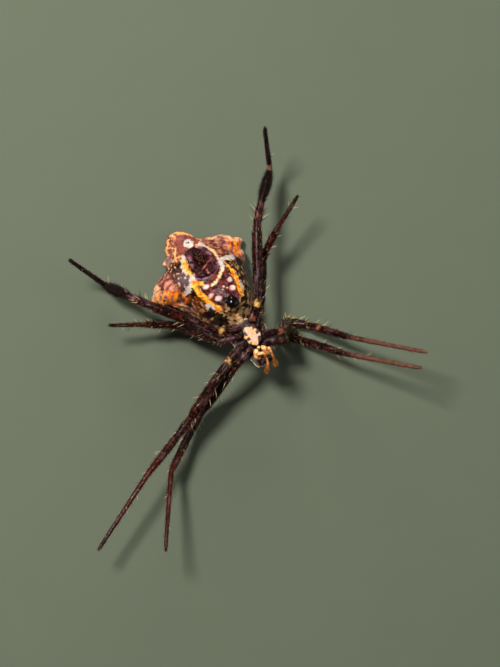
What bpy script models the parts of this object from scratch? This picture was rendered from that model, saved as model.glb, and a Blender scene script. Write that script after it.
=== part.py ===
"""Orb weaver spider, adult female Argiope, life size, resting on its back.

Written in metres, +Z up. The spider is first laid out in the frame of its own front body:
+X its right side, -Y its head, +Z its belly side, origin at the middle of the breastplate.
The whole is then tipped a few degrees so that the back of the abdomen and the knees of the
two right front legs lie level on z = 0, and set with its middle over the origin.
"""
import bpy
import bmesh
from math import acos, cos, exp, pi, radians, sin
from mathutils import Matrix, Vector

MM = 0.001

# Driving dimensions, millimetres and degrees
REST_PITCH = 8.0           # how far the tail end is tipped down to rest
FLOOR_DEPTH = 8.8          # breastplate to the resting plane, square to that plane
GAP = 0.05                 # clearance between neighbouring plates and leg articles
HIP_HEIGHT = -0.85         # centre line of the hips below the breastplate's face
SHELF = -1.46              # underside edge of the carapace, above which the hips lie
LEG_SIDES = 8              # faces round a leg
MOUTH_SIDES, EGG_ROWS, FANG_SIDES = 12, 8, 8
SHARP_EDGE = 50            # edges turned further than this are shaded sharp
ABDOMEN_SIDES = 38
ABDOMEN_RINGS = 38
ABDOMEN_DRIFT = -0.0078    # sideways bend of the abdomen toward the left, growing tailward

# Lengths of coxa, trochanter, femur, patella, tibia, metatarsus and tarsus of each leg pair
ARTICLES = {1: (1.7, 0.8, 7.6, 2.4, 5.7, 8.0, 1.8),
            2: (1.8, 0.8, 7.6, 2.3, 5.6, 8.2, 1.8),
            3: (1.6, 0.7, 5.2, 1.4, 2.6, 3.2, 1.2),
            4: (1.8, 0.8, 8.0, 2.3, 5.0, 7.4, 1.6)}
STOUTNESS = {1: 1.0, 2: 1.0, 3: 0.9, 4: 1.0}
HIP_PLACES = {1: (0.98, -1.32), 2: (1.2, -0.45), 3: (1.17, 0.55), 4: (0.87, 1.48)}

# Pose of each leg: (heading, rise) of coxa, femur, tibia and foot. A heading is in degrees
# from +X, positive toward the head; a rise is toward the belly side.
POSE = {("L", 1): ((160, -14), (151, -47), (148, 19), (127, 21)),
        ("L", 2): ((163, 0), (151, -21), (158, 8), (152, -7)),
        ("L", 3): ((194, -10), (-127, -31), (-153, 17), (-155, 16)),
        ("L", 4): ((194, 12), (-131, 3), (-114, -53), (-130, 53)),
        ("R", 1): ((27, 2.5), (-25, -76), (53, 38), (45, 37)),
        ("R", 2): ((20, -4), (-12, -69), (52, 42), (46, 38)),
        ("R", 3): ((-50, -10), (-57, -5), (-36, 28), (-31, 23)),
        ("R", 4): ((-44, 22), (-62, 4), (-42, -22), (-92, 63))}

# Outline of each article as (place along it, half thickness)
COXA = ((0.0, 0.4), (0.45, 0.48), (0.85, 0.47))
TROCHANTER = ((0.0, 0.45), (0.5, 0.47))
FEMUR = ((0.0, 0.44), (0.12, 0.5), (0.35, 0.58), (0.65, 0.62), (0.88, 0.58), (1.0, 0.42))
PATELLA = ((0.0, 0.4), (0.38, 0.52), (0.75, 0.5))
TIBIA = ((0.0, 0.4), (0.2, 0.47), (0.55, 0.46), (0.88, 0.4), (1.0, 0.32))
BRUSH_TIBIA = ((0.0, 0.4), (0.25, 0.5), (0.5, 0.57), (0.75, 0.51), (1.0, 0.34))
METATARSUS = ((0.0, 0.32), (0.06, 0.31), (0.5, 0.27))
TARSUS = ((0.0, 0.26), (0.5, 0.26), (1.0, 0.25))

# Abdomen: (place along, half width, belly side, back) of its sections
SECTIONS = ((0.35, 0.7, -4.3, -5.9),
            (0.75, 1.9, -3.5, -7.2),
            (1.7, 2.75, -3.05, -8.2),
            (2.5, 3.0, -2.05, -8.8),
            (3.2, 3.15, -1.15, -9.0),
            (4.3, 3.35, -0.2, -9.0),
            (6.4, 3.9, -0.35, -9.0),
            (8.5, 4.2, -1.0, -9.0),
            (10.2, 3.5, -2.6, -8.0),
            (11.8, 2.3, -3.9, -7.3),
            (13.1, 1.6, -4.7, -6.9),
            (13.9, 1.0, -5.1, -6.5))
# Tubercles along the margin: (side, place along, reach, half breadth along, bluntness);
# a bluntness of 2 is a rounded swelling and 4 a lobe with a broad flat end
TUBERCLES = ((-1, 2.2, 1.15, 0.75, 2),
             (-1, 4.4, 0.25, 0.7, 2),
             (-1, 6.6, 0.65, 0.9, 2),
             (-1, 8.5, 0.5, 0.6, 2),
             (-1, 8.95, 1.9, 1.65, 4),
             (-1, 11.65, 0.75, 0.45, 2),
             (-1, 12.9, 0.2, 0.6, 2),
             (1, 6.3, 0.3, 1.2, 2),
             (1, 8.8, 1.35, 1.3, 2),
             (1, 10.6, 2.15, 1.15, 4),
             (1, 11.75, 0.7, 0.45, 4),
             (1, 13.5, 0.2, 0.4, 2))
MARGIN_ANGLE = -14.0       # where round the section the tubercles stand
MARGIN_SPREAD = 30.0
END_DOME = ((0.8, 0.16), (0.4, 0.3))      # (share of the end section, bulge beyond it)
RING_CROWDING = 0.06       # how much closer the rings stand toward the front end

# Pads on the abdomen's belly face: place along, then (radius, height) of their profile
SPINNERETS = (9.35, ((0.3, GAP), (0.9, GAP), (1.3, GAP), (1.26, 0.2), (1.05, 0.42),
                     (0.62, 0.5), (0.56, 0.72), (0.4, 0.95), (0.12, 1.0)))
EPIGYNUM = (4.25, ((0.15, GAP), (0.55, GAP), (0.6, 0.2), (0.5, 0.48), (0.26, 0.62),
                   (0.06, 0.66)))

# Waist: ends and half thicknesses
WAIST = (((0, 1.92, -1.68), (0, 2.12, -1.7)), (0.36, 0.4))

# Carapace: (place along, half width, back) of its sections
CARAPACE = ((-3.4, 0.62, -2.25), (-3.28, 0.92, -2.7), (-2.7, 1.12, -3.1), (-1.8, 1.32, -3.2),
            (-0.9, 1.85, -3.02), (0.1, 2.15, -2.9), (0.9, 1.98, -2.6), (1.5, 1.35, -2.2),
            (1.85, 0.7, -1.9))
CARAPACE_ROWS, CARAPACE_SIDES = 15, 24
SHELF_RISE = 0.12          # bulge of the carapace's underside between the hips

# Breastplate: half sizes, place of its middle along, (share of the half sizes, height) of its
# profile, and a shallow lobe before each of the eight hips
BREASTPLATE_HALF = (0.98, 1.3)
BREASTPLATE_MIDDLE = 0.05
BREASTPLATE_PROFILE = ((0.86, SHELF + SHELF_RISE + GAP), (0.86, -0.9), (0.9, -0.3),
                       (1.0, -0.12), (0.82, -0.02), (0.35, 0.03))
BREASTPLATE_SIDES = 24
LOBE_COUNT, LOBE_DEPTH = 8, 0.05

# Mouth: centre, half sizes and lean of its edges; path and half thicknesses of the right
# jaw and fang, which the left ones mirror
LABIUM = ((0, -1.53, -0.35), (0.2, 0.2, 0.34), 0)
MAXILLA = ((0.57, -2.03, -0.42), (0.32, 0.6, 0.5), 24)
CHELICERA = (((0.46, -2.86, SHELF + SHELF_RISE + GAP), (0.49, -2.98, -0.85),
              (0.5, -3.12, -0.2), (0.48, -3.2, 0.18), (0.44, -3.22, 0.36)),
             (0.36, 0.43, 0.43, 0.34, 0.2))
FANG = (((0.45, -3.22, 0.43), (0.36, -3.14, 0.56), (0.2, -2.98, 0.55), (0.07, -2.86, 0.44)),
        (0.14, 0.12, 0.08, 0.03))

# Eyes: (name, distance from the middle, place along, radius), and (radius, height) of the
# dome as shares of the eye's radius
EYES = (("front_middle", 0.17, -3.24, 0.12), ("rear_middle", 0.19, -2.74, 0.13),
        ("front_side", 0.66, -3.12, 0.09), ("rear_side", 0.72, -2.82, 0.11))
EYE_DOME = ((0.3, 0.0), (0.95, 0.0), (1.0, 0.4), (0.75, 0.85), (0.25, 1.1))

# Palps: joints from the maxilla to the tip, and half thicknesses at these and at the bulge
PALPS = {"left": ((-0.62, -2.12, 0.07), (-0.6, -2.12, 0.75), (-0.11, -2.32, 1.25),
                  (-0.22, -3.5, 1.15), (-0.88, -4.3, 0.8)),
         "right": ((0.62, -2.12, 0.07), (0.72, -2.1, 0.75), (0.66, -2.35, 1.25),
                   (0.58, -3.2, 1.27), (0.52, -4.12, 0.8))}
PALP_SIZES = (0.28, 0.29, 0.27, 0.26, 0.32, 0.2)
PALP_BULGE = 0.45          # place of the thickest point along the last article

COLOURS = {"carapace": (0.42, 0.38, 0.32, 0.75), "breastplate": (0.72, 0.62, 0.42, 0.6),
           "abdomen": (0.1, 0.045, 0.03, 0.55), "leg": (0.07, 0.03, 0.022, 0.45),
           "foot": (0.12, 0.045, 0.03, 0.5), "mouth": (0.5, 0.33, 0.2, 0.5),
           "jaw": (0.012, 0.008, 0.008, 0.25), "palp": (0.55, 0.2, 0.07, 0.6),
           "eye": (0.01, 0.01, 0.012, 0.1)}

STAND = (Matrix.Translation((0, 0, FLOOR_DEPTH))
         @ Matrix.Rotation(radians(-REST_PITCH), 4, 'X'))


def clear_scene():
    for item in list(bpy.data.objects):
        bpy.data.objects.remove(item, do_unlink=True)


def material(name):
    """One Principled material per finish, shared by the pieces that wear it."""
    found = bpy.data.materials.get(name)
    if found:
        return found
    made = bpy.data.materials.new(name)
    made.use_nodes = True
    shader = made.node_tree.nodes["Principled BSDF"]
    red, green, blue, roughness = COLOURS[name]
    shader.inputs["Base Color"].default_value = (red, green, blue, 1.0)
    shader.inputs["Roughness"].default_value = roughness
    shader.inputs["Metallic"].default_value = 0.0
    made.diffuse_color = (red, green, blue, 1.0)
    return made


def heading(azimuth, rise):
    a, e = radians(azimuth), radians(rise)
    return Vector((cos(e) * cos(a), -cos(e) * sin(a), sin(e)))


def smooth_value(stations, place, column):
    """Value of a column of the stations at a place, on a curve through the stations."""
    last = len(stations) - 1
    if place <= stations[0][0]:
        return stations[0][column]
    if place >= stations[last][0]:
        return stations[last][column]
    i = max(n for n in range(last) if stations[n][0] <= place)
    low, high = stations[i], stations[i + 1]
    before, after = stations[max(i - 1, 0)], stations[min(i + 2, last)]
    span = high[0] - low[0]
    t = (place - low[0]) / span
    slope_low = (high[column] - before[column]) / (high[0] - before[0]) * span
    slope_high = (after[column] - low[column]) / (after[0] - low[0]) * span
    return ((2 * t ** 3 - 3 * t ** 2 + 1) * low[column] + (t ** 3 - 2 * t ** 2 + t) * slope_low
            + (3 * t ** 2 - 2 * t ** 3) * high[column] + (t ** 3 - t ** 2) * slope_high)


def solid(name, rings, finish, collection):
    """Close a stack of equal rings (millimetres, spider's frame) into one resting solid."""
    mesh = bpy.data.meshes.new(name)
    bm = bmesh.new()
    rows = []
    for ring in rings:
        row = []
        for point in ring:
            placed = STAND @ Vector(point)
            placed.z = max(placed.z, 0.0)
            row.append(bm.verts.new(placed * MM))
        rows.append(row)
    count = len(rows[0])
    for low, high in zip(rows, rows[1:]):
        for i in range(count):
            j = (i + 1) % count
            bm.faces.new((low[i], low[j], high[j], high[i]))
    bm.faces.new(list(reversed(rows[0])))
    bm.faces.new(rows[-1])
    bmesh.ops.recalc_face_normals(bm, faces=bm.faces[:])
    bm.to_mesh(mesh)
    bm.free()
    mesh.shade_smooth()
    mesh.set_sharp_from_angle(angle=radians(SHARP_EDGE))
    mesh.materials.append(material(finish))
    made = bpy.data.objects.new(name, mesh)
    collection.objects.link(made)
    return made


def circle(centre, across, up, size, sides):
    turns = [2 * pi * i / sides for i in range(sides)]
    return [centre + (across * cos(turn) + up * sin(turn)) * size for turn in turns]


def tube(points, sizes, sides):
    """Rings along a path, each in the plane that halves the bend there."""
    points = [Vector(point) for point in points]
    steps = [(b - a).normalized() for a, b in zip(points, points[1:])]
    tangents = [steps[0]] + [(a + b).normalized() for a, b in zip(steps, steps[1:])] + [steps[-1]]
    side = tangents[0].cross(Vector((0, 0, 1)))
    if side.length < 0.1:
        side = tangents[0].cross(Vector((0, 1, 0)))
    side.normalize()
    rings = []
    for n, (centre, tangent) in enumerate(zip(points, tangents)):
        ahead = steps[min(n, len(steps) - 1)]
        side = (side - ahead * side.dot(ahead)).normalized()
        up = side.cross(ahead)
        ring = circle(centre, side, up, sizes[n], sides)
        # slide each point along the article onto the bend's halving plane
        slid = []
        for point in ring:
            shift = -(point - centre).dot(tangent) / ahead.dot(tangent)
            slid.append(point + ahead * shift)
        rings.append(slid)
    return rings


# ---- Legs ----

def leg_joints(side, pair):
    """Hip, ends of coxa, trochanter, femur, patella, tibia, metatarsus and tarsus."""
    coxa_way, femur_way, tibia_way, foot_way = POSE[(side, pair)]
    lengths = ARTICLES[pair]
    sign = 1 if side == "R" else -1
    x, y = HIP_PLACES[pair]
    coxa = heading(*coxa_way)
    femur = heading(*femur_way)
    tibia = heading(*tibia_way)
    metatarsus = heading(*foot_way)
    trochanter = (coxa + femur).normalized()
    patella = (femur * 0.3 + tibia * 0.7).normalized()
    tarsus = (metatarsus + Vector((0, 0, 0.12))).normalized()
    joints = [Vector((sign * x, y, HIP_HEIGHT))]
    ways = (coxa, trochanter, femur, patella, tibia, metatarsus, tarsus)
    for way, length in zip(ways, lengths):
        joints.append(joints[-1] + way * length)
    return joints


def article_path(joints, profiles, first, stout):
    """Points and half thicknesses through consecutive articles, joints[first] onward."""
    points, sizes = [], []
    for n, profile in enumerate(profiles):
        start, end = joints[first + n], joints[first + n + 1]
        for place, size in profile:
            points.append(start.lerp(end, place))
            sizes.append(size * stout)
    return points, sizes


def trim_end(points, index, toward, bend):
    """Draw a path's end back from the joint by half the gap, square to the joint's plane."""
    way = (points[toward] - points[index]).normalized()
    points[index] = points[index] + way * (GAP / 2 / bend)


def leg(side, pair, collection):
    joints = leg_joints(side, pair)
    stout = STOUTNESS[pair]
    tibia = BRUSH_TIBIA if pair == 4 else TIBIA
    lengths = (("femur", (COXA, TROCHANTER, FEMUR), 0), ("tibia", (PATELLA, tibia), 3),
               ("foot", (METATARSUS, TARSUS), 5))
    steps = [(b - a).normalized() for a, b in zip(joints, joints[1:])]
    for title, profiles, first in lengths:
        points, sizes = article_path(joints, profiles, first, stout)
        last = first + len(profiles)
        # a ring just beyond each cut gives the cut face the joint's halving plane
        near, far = first > 0, last < len(steps)
        if near:
            half = (steps[first - 1] + steps[first]).normalized()
            trim_end(points, 0, 1, half.dot(steps[first]))
            points.insert(0, points[0] - steps[first - 1])
            sizes.insert(0, sizes[0])
        if far:
            half = (steps[last - 1] + steps[last]).normalized()
            trim_end(points, -1, -2, half.dot(steps[last - 1]))
            points.append(points[-1] + steps[last])
            sizes.append(sizes[-1])
        rings = tube(points, sizes, LEG_SIDES)
        rings = rings[1 if near else 0:len(rings) - (1 if far else 0)]
        name = "leg_" + ("right" if side == "R" else "left") + "_" + str(pair) + "_" + title
        solid(name, rings, "foot" if title == "foot" else "leg", collection)


# ---- Abdomen ----

def abdomen_point(place, angle):
    """Surface of the abdomen; angle in degrees, 90 on the belly side, -90 on the back."""
    half = smooth_value(SECTIONS, place, 1)
    belly = smooth_value(SECTIONS, place, 2)
    back = smooth_value(SECTIONS, place, 3)
    middle = 0.42 * belly + 0.58 * back
    turn = radians(angle)
    x = half * cos(turn)
    z = middle + (belly - middle if sin(turn) > 0 else middle - back) * sin(turn)
    from_side = angle if abs(angle) <= 90 else (180 - angle if angle > 0 else -180 - angle)
    share = exp(-((from_side - MARGIN_ANGLE) / MARGIN_SPREAD) ** 2)
    for side, along, reach, breadth, bluntness in TUBERCLES:
        if side * x > 0:
            x += side * reach * share * exp(-abs((place - along) / breadth) ** bluntness)
    return Vector((x + ABDOMEN_DRIFT * max(place - 2.0, 0) ** 2, place, z))


def abdomen_normal(place, angle):
    step = 0.05
    along = abdomen_point(place + step, angle) - abdomen_point(place - step, angle)
    around = abdomen_point(place, angle + 1) - abdomen_point(place, angle - 1)
    normal = along.cross(around).normalized()
    return normal if normal.z * sin(radians(angle)) >= 0 else -normal


def abdomen(collection):
    first, last = SECTIONS[0][0], SECTIONS[-1][0]
    rings = []
    for n in range(ABDOMEN_RINGS):
        t = n / (ABDOMEN_RINGS - 1)
        place = first + (last - first) * (t + RING_CROWDING * sin(2 * pi * t) * (t - 1))
        rings.append([abdomen_point(place, 360 * (i + 0.5) / ABDOMEN_SIDES - 180)
                      for i in range(ABDOMEN_SIDES)])
    # close both ends with a small dome
    for end, sign in ((0, -1), (-1, 1)):
        ring = rings[end]
        centre = sum(ring, Vector()) / len(ring)
        dome = []
        for shrink, bulge in END_DOME:
            dome.append([centre + (p - centre) * shrink + Vector((0, sign * bulge, 0))
                         for p in ring])
        if end == 0:
            rings = list(reversed(dome)) + rings
        else:
            rings = rings + dome
    solid("abdomen", rings, "abdomen", collection)


def raised_pad(name, place_of, normal, profile, sides, finish, collection):
    """A low solid standing on a curved surface; its foot follows that surface.

    profile lists (radius, height) from the middle of the foot, round the rim, to the top.
    """
    rings = []
    for radius, height in profile:
        turns = [2 * pi * i / sides for i in range(sides)]
        rings.append([place_of(radius * cos(turn), radius * sin(turn)) + normal * height
                      for turn in turns])
    solid(name, rings, finish, collection)


def pad_on_abdomen(name, pad, sides, finish, collection):
    middle, profile = pad

    def place_of(dx, dy):
        place = middle + dy
        half = smooth_value(SECTIONS, place, 1)
        angle = acos(max(-1.0, min(1.0, dx / half))) * 180 / pi
        return abdomen_point(place, angle)

    raised_pad(name, place_of, abdomen_normal(middle, 90), profile, sides, finish, collection)


def waist(collection):
    points, sizes = WAIST
    solid("waist", tube(points, sizes, 10), "leg", collection)


# ---- Front body ----

def carapace_point(place, angle):
    half = smooth_value(CARAPACE, place, 1)
    back = smooth_value(CARAPACE, place, 2)
    turn = radians(angle)
    if sin(turn) >= 0:
        return Vector((half * cos(turn), place,
                       SHELF + SHELF_RISE * sin(turn) * min(1.0, half)))
    return Vector((half * cos(turn), place, SHELF + (SHELF - back) * sin(turn)))


def carapace(collection):
    first, last = CARAPACE[0][0], CARAPACE[-1][0]
    rings = []
    for n in range(CARAPACE_ROWS):
        t = n / (CARAPACE_ROWS - 1)
        place = first + (last - first) * (0.5 - 0.5 * cos(pi * t))
        rings.append([carapace_point(place, 360 * i / CARAPACE_SIDES)
                      for i in range(CARAPACE_SIDES)])
    solid("carapace", rings, "carapace", collection)


def breastplate(collection):
    """Shield with a shallow lobe before each hip, standing on the carapace's underside."""
    half_wide, half_long = BREASTPLATE_HALF
    rings = []
    for scale, height in BREASTPLATE_PROFILE:
        ring = []
        for i in range(BREASTPLATE_SIDES):
            turn = 2 * pi * i / BREASTPLATE_SIDES
            reach = scale * (1 + LOBE_DEPTH * cos(LOBE_COUNT * turn))
            ring.append(Vector((half_wide * reach * cos(turn),
                                BREASTPLATE_MIDDLE + half_long * reach * sin(turn), height)))
        rings.append(ring)
    solid("breastplate", rings, "breastplate", collection)


def rounded(name, centre, halves, lean, finish, collection):
    """An egg shape with its long half along Y, turned about Z by lean degrees."""
    turned = Matrix.Rotation(radians(lean), 3, 'Z')
    rings = []
    for n in range(1, EGG_ROWS):
        way = pi * n / EGG_ROWS
        ring = []
        for i in range(MOUTH_SIDES):
            turn = 2 * pi * i / MOUTH_SIDES
            point = Vector((halves[0] * sin(way) * cos(turn), -halves[1] * cos(way),
                            halves[2] * sin(way) * sin(turn)))
            ring.append(Vector(centre) + turned @ point)
        rings.append(ring)
    solid(name, rings, finish, collection)


def mirrored(points, sign):
    return [(sign * x, y, z) for x, y, z in points]


def mouthparts(collection):
    rounded("labium", *LABIUM, "mouth", collection)
    centre, halves, lean = MAXILLA
    jaw, jaw_sizes = CHELICERA
    fang, fang_sizes = FANG
    for side, sign in (("left", -1), ("right", 1)):
        rounded("maxilla_" + side, mirrored([centre], sign)[0], halves, sign * lean, "mouth",
                collection)
        solid("chelicera_" + side, tube(mirrored(jaw, sign), jaw_sizes, MOUTH_SIDES), "jaw",
              collection)
        solid("fang_" + side, tube(mirrored(fang, sign), fang_sizes, FANG_SIDES), "jaw",
              collection)


def palps(collection):
    for side, route in PALPS.items():
        joints = [Vector(point) for point in route]
        bulge = joints[-2].lerp(joints[-1], PALP_BULGE)
        points = joints[:-1] + [bulge, joints[-1]]
        solid("palp_" + side, tube(points, PALP_SIZES, LEG_SIDES), "palp", collection)


def eyes(collection):
    for title, away, along, radius in EYES:
        for side, sign in (("left", -1), ("right", 1)):

            def place_of(dx, dy, sign=sign, away=away, along=along):
                width = smooth_value(CARAPACE, along + dy, 1)
                turn = acos(max(-1.0, min(1.0, (sign * away + dx) / width))) * 180 / pi
                return carapace_point(along + dy, -turn)

            step = 0.02
            normal = (place_of(step, 0) - place_of(-step, 0)).cross(
                place_of(0, step) - place_of(0, -step)).normalized()
            if normal.z > 0:
                normal.negate()
            profile = [(radius * wide, radius * high + GAP) for wide, high in EYE_DOME]
            raised_pad("eye_" + title + "_" + side, place_of, normal, profile, 10, "eye",
                       collection)


def centre_on_floor():
    """Move every piece so that the middle of the whole spread stands over the origin."""
    meshes = [item.data for item in bpy.data.objects if item.type == 'MESH']
    corners = [v.co for mesh in meshes for v in mesh.vertices]
    middle_x = (min(c.x for c in corners) + max(c.x for c in corners)) / 2
    middle_y = (min(c.y for c in corners) + max(c.y for c in corners)) / 2
    for mesh in meshes:
        mesh.transform(Matrix.Translation((-middle_x, -middle_y, 0)))


def build():
    clear_scene()
    collection = bpy.data.collections.new("orb_weaver_spider")
    bpy.context.scene.collection.children.link(collection)
    abdomen(collection)
    pad_on_abdomen("spinnerets", SPINNERETS, 14, "abdomen", collection)
    pad_on_abdomen("epigynum", EPIGYNUM, MOUTH_SIDES, "jaw", collection)
    waist(collection)
    carapace(collection)
    breastplate(collection)
    mouthparts(collection)
    palps(collection)
    eyes(collection)
    for side, pair in POSE:
        leg(side, pair, collection)
    centre_on_floor()


build()
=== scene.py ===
import random
from math import acos, atan2, cos, exp, hypot, pi, radians, sin, sqrt

import bmesh
import bpy
import numpy as np
from mathutils import Matrix, Vector, noise


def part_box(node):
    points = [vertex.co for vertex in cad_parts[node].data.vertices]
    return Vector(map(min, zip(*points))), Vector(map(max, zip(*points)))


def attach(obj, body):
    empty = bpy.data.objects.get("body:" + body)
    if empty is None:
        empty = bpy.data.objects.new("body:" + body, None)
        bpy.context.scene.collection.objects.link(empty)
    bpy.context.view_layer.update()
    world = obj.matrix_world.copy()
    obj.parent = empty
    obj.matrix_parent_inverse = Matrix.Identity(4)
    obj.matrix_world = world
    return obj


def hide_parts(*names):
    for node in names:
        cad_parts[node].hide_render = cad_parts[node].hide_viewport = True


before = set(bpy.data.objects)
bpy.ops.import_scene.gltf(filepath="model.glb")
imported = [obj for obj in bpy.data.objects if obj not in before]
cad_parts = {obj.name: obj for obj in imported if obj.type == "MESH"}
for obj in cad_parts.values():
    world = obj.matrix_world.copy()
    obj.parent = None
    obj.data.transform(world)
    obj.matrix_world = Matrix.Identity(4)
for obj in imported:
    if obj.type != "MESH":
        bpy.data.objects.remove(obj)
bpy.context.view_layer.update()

mm = 0.001

# the spider is laid out in millimetres: +x its right, -y its head, +z its belly side,
# with the middle of the breastplate at the origin, and then rests on its back
restPose = {"pitch": 8.0, "depth": 8.8, "plateShift": 0.033}
plateLow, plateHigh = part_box("breastplate")
restPlace = (Matrix.Translation(((plateLow[0] + plateHigh[0]) / 2,
                                 (plateLow[1] + plateHigh[1]) / 2 - restPose["plateShift"] * mm,
                                 restPose["depth"] * mm))
             @ Matrix.Rotation(radians(-restPose["pitch"]), 4, "X"))
floorGap = 0.01 * mm


def place(point):
    spot = restPlace @ (Vector(point) * mm)
    spot.z = max(spot.z, floorGap)
    return spot


def placeMany(points):
    turned = np.array(restPlace.to_3x3())
    spots = points * mm @ turned.T + np.array(restPlace.translation)
    spots[..., 2] = np.maximum(spots[..., 2], floorGap)
    return spots


def clamp(value, low=0.0, high=1.0):
    return max(low, min(high, value))


def ease(low, high, value):
    t = clamp((value - low) / (high - low))
    return t * t * (3 - 2 * t)


def blend(first, second, share):
    return tuple(a + (b - a) * share for a, b in zip(first, second))


def paint(tones, ground, **layers):
    # named tones laid over a ground one after another, each with its share
    colour = tones[ground] if isinstance(ground, str) else ground
    for tone, share in layers.items():
        colour = blend(colour, tones[tone], share)
    return colour


def heading(azimuth, rise):
    a, e = radians(azimuth), radians(rise)
    return Vector((cos(e) * cos(a), -cos(e) * sin(a), sin(e)))


def curveValue(stations, spot, column):
    last = len(stations) - 1
    spot = clamp(spot, stations[0][0], stations[last][0])
    i = max(n for n in range(last) if stations[n][0] <= spot)
    low, high = stations[i], stations[i + 1]
    before, after = stations[max(i - 1, 0)], stations[min(i + 2, last)]
    span = high[0] - low[0]
    t = (spot - low[0]) / span
    slopeLow = (high[column] - before[column]) / (high[0] - before[0]) * span
    slopeHigh = (after[column] - low[column]) / (after[0] - low[0]) * span
    return ((2 * t ** 3 - 3 * t ** 2 + 1) * low[column] + (t ** 3 - 2 * t ** 2 + t) * slopeLow
            + (3 * t ** 2 - 2 * t ** 3) * high[column] + (t ** 3 - t ** 2) * slopeHigh)


def wobble(point, size=1.0, seed=0.0):
    return noise.noise(Vector(point) / size + Vector((seed, seed * 1.7, -seed)))


# colours are linear red, green and blue
def srgb(red, green, blue):
    return tuple(((c / 255 + 0.055) / 1.055) ** 2.4 if c > 10 else c / 255 / 12.92
                 for c in (red, green, blue))


def toneTable(**tones):
    return {name: srgb(*tone) for name, tone in tones.items()}


# a round piece starts as a ball whose rings are then laid along the piece:
# lay(t, turn) gives a point in millimetres, t running from one pole to the other
def addRound(bm, around, along, lay, tintOf):
    tint = bm.verts.layers.float_color.get("tint") or bm.verts.layers.float_color.new("tint")
    ball = bmesh.ops.create_uvsphere(bm, u_segments=around, v_segments=along, radius=1)
    for vert in ball["verts"]:
        t = acos(clamp(vert.co.z, -1, 1)) / pi
        turn = atan2(vert.co.y, vert.co.x)
        spot = Vector(lay(t, turn))
        vert[tint] = (*tintOf(t, turn, spot), 1.0)
        vert.co = place(spot)


def addObject(name, data):
    made = bpy.data.objects.new(name, data)
    bpy.context.scene.collection.objects.link(made)
    return made


def addPiece(mesh, finish):
    mesh.shade_smooth()
    mesh.materials.append(finish)
    piece = addObject(mesh.name, mesh)
    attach(piece, "root")
    return piece


def finishPiece(bm, name, finish, slot, *nodes):
    bmesh.ops.recalc_face_normals(bm, faces=bm.faces[:])
    mesh = bpy.data.meshes.new(name)
    bm.to_mesh(mesh)
    bm.free()
    piece = addPiece(mesh, finish)
    if nodes:
        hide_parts(*nodes)


# materials
def startFinish(name, roughness, **values):
    finish = bpy.data.materials.new(name)
    finish.use_nodes = True
    tree = finish.node_tree
    shader = tree.nodes["Principled BSDF"]
    shader.inputs["Roughness"].default_value = roughness
    for socket, value in values.items():
        shader.inputs[socket.replace("_", " ")].default_value = value
    coords = tree.nodes.new("ShaderNodeTexCoord")
    return finish, tree, shader, coords.outputs["Object"]


def addNode(tree, kind, output, **values):
    # a node whose sockets are linked or set by name
    made = tree.nodes.new("ShaderNode" + kind)
    for name, value in values.items():
        socket = made.inputs[name.replace("_", " ")]
        if isinstance(value, (int, float)):
            socket.default_value = value
        else:
            tree.links.new(value, socket)
    return made.outputs[output]


def addNoise(tree, coords, size, detail=4.0):
    return addNode(tree, "TexNoise", "Fac", Vector=coords, Scale=1 / (size * mm), Detail=detail,
                   Roughness=0.6)


def addCells(tree, coords, size):
    return addNode(tree, "TexVoronoi", "Distance", Vector=coords, Scale=1 / (size * mm))


def addRange(tree, value, low, high, outLow, outHigh):
    return addNode(tree, "MapRange", "Result", Value=value, From_Min=low, From_Max=high,
                   To_Min=outLow, To_Max=outHigh)


def addProduct(tree, first, second):
    # one colour multiplied by a tone or a shade
    made = tree.nodes.new("ShaderNodeMix")
    made.data_type = "RGBA"
    made.blend_type = "MULTIPLY"
    sockets = {s.name: s for s in made.inputs
               if s.type == ("VALUE" if s.name == "Factor" else "RGBA")}
    sockets["Factor"].default_value = 1.0
    tree.links.new(second, sockets["B"])
    if isinstance(first, tuple):
        sockets["A"].default_value = (*first, 1.0)
    else:
        tree.links.new(first, sockets["A"])
    return next(s for s in made.outputs if s.type == "RGBA")


def addBump(tree, height, depth, **under):
    return addNode(tree, "Bump", "Normal", Height=height, Distance=depth * mm, Strength=0.5,
                   **under)


def readTint(tree):
    made = tree.nodes.new("ShaderNodeAttribute")
    made.attribute_name = "tint"
    return made.outputs["Color"]


def cuticle(name, look):
    # painted tint, blotched at two sizes, with fine pores in the bump and uneven gloss
    finish, tree, shader, coords = startFinish(name, look["roughness"], **look.get("sockets", {}))
    blotch = addNoise(tree, coords, look["blotch"])
    grain = addNoise(tree, coords, look["grain"], 2.0)
    shade = addRange(tree, blotch, 0.35, 0.7, look["dark"], look["light"])
    fine = addRange(tree, grain, 0.3, 0.75, 1 - look["speckle"], 1 + look["speckle"])
    toned = addProduct(tree, addProduct(tree, readTint(tree), shade), fine)
    tree.links.new(toned, shader.inputs["Base Color"])
    gloss = addRange(tree, blotch, 0.3, 0.7, look["roughness"] - 0.1, look["roughness"] + 0.12)
    tree.links.new(gloss, shader.inputs["Roughness"])
    pores = addCells(tree, coords, look["pore"])
    normal = addBump(tree, pores, look["poreDepth"])
    normal = addBump(tree, grain, look["grainDepth"], Normal=normal)
    tree.links.new(normal, shader.inputs["Normal"])
    return finish


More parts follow.
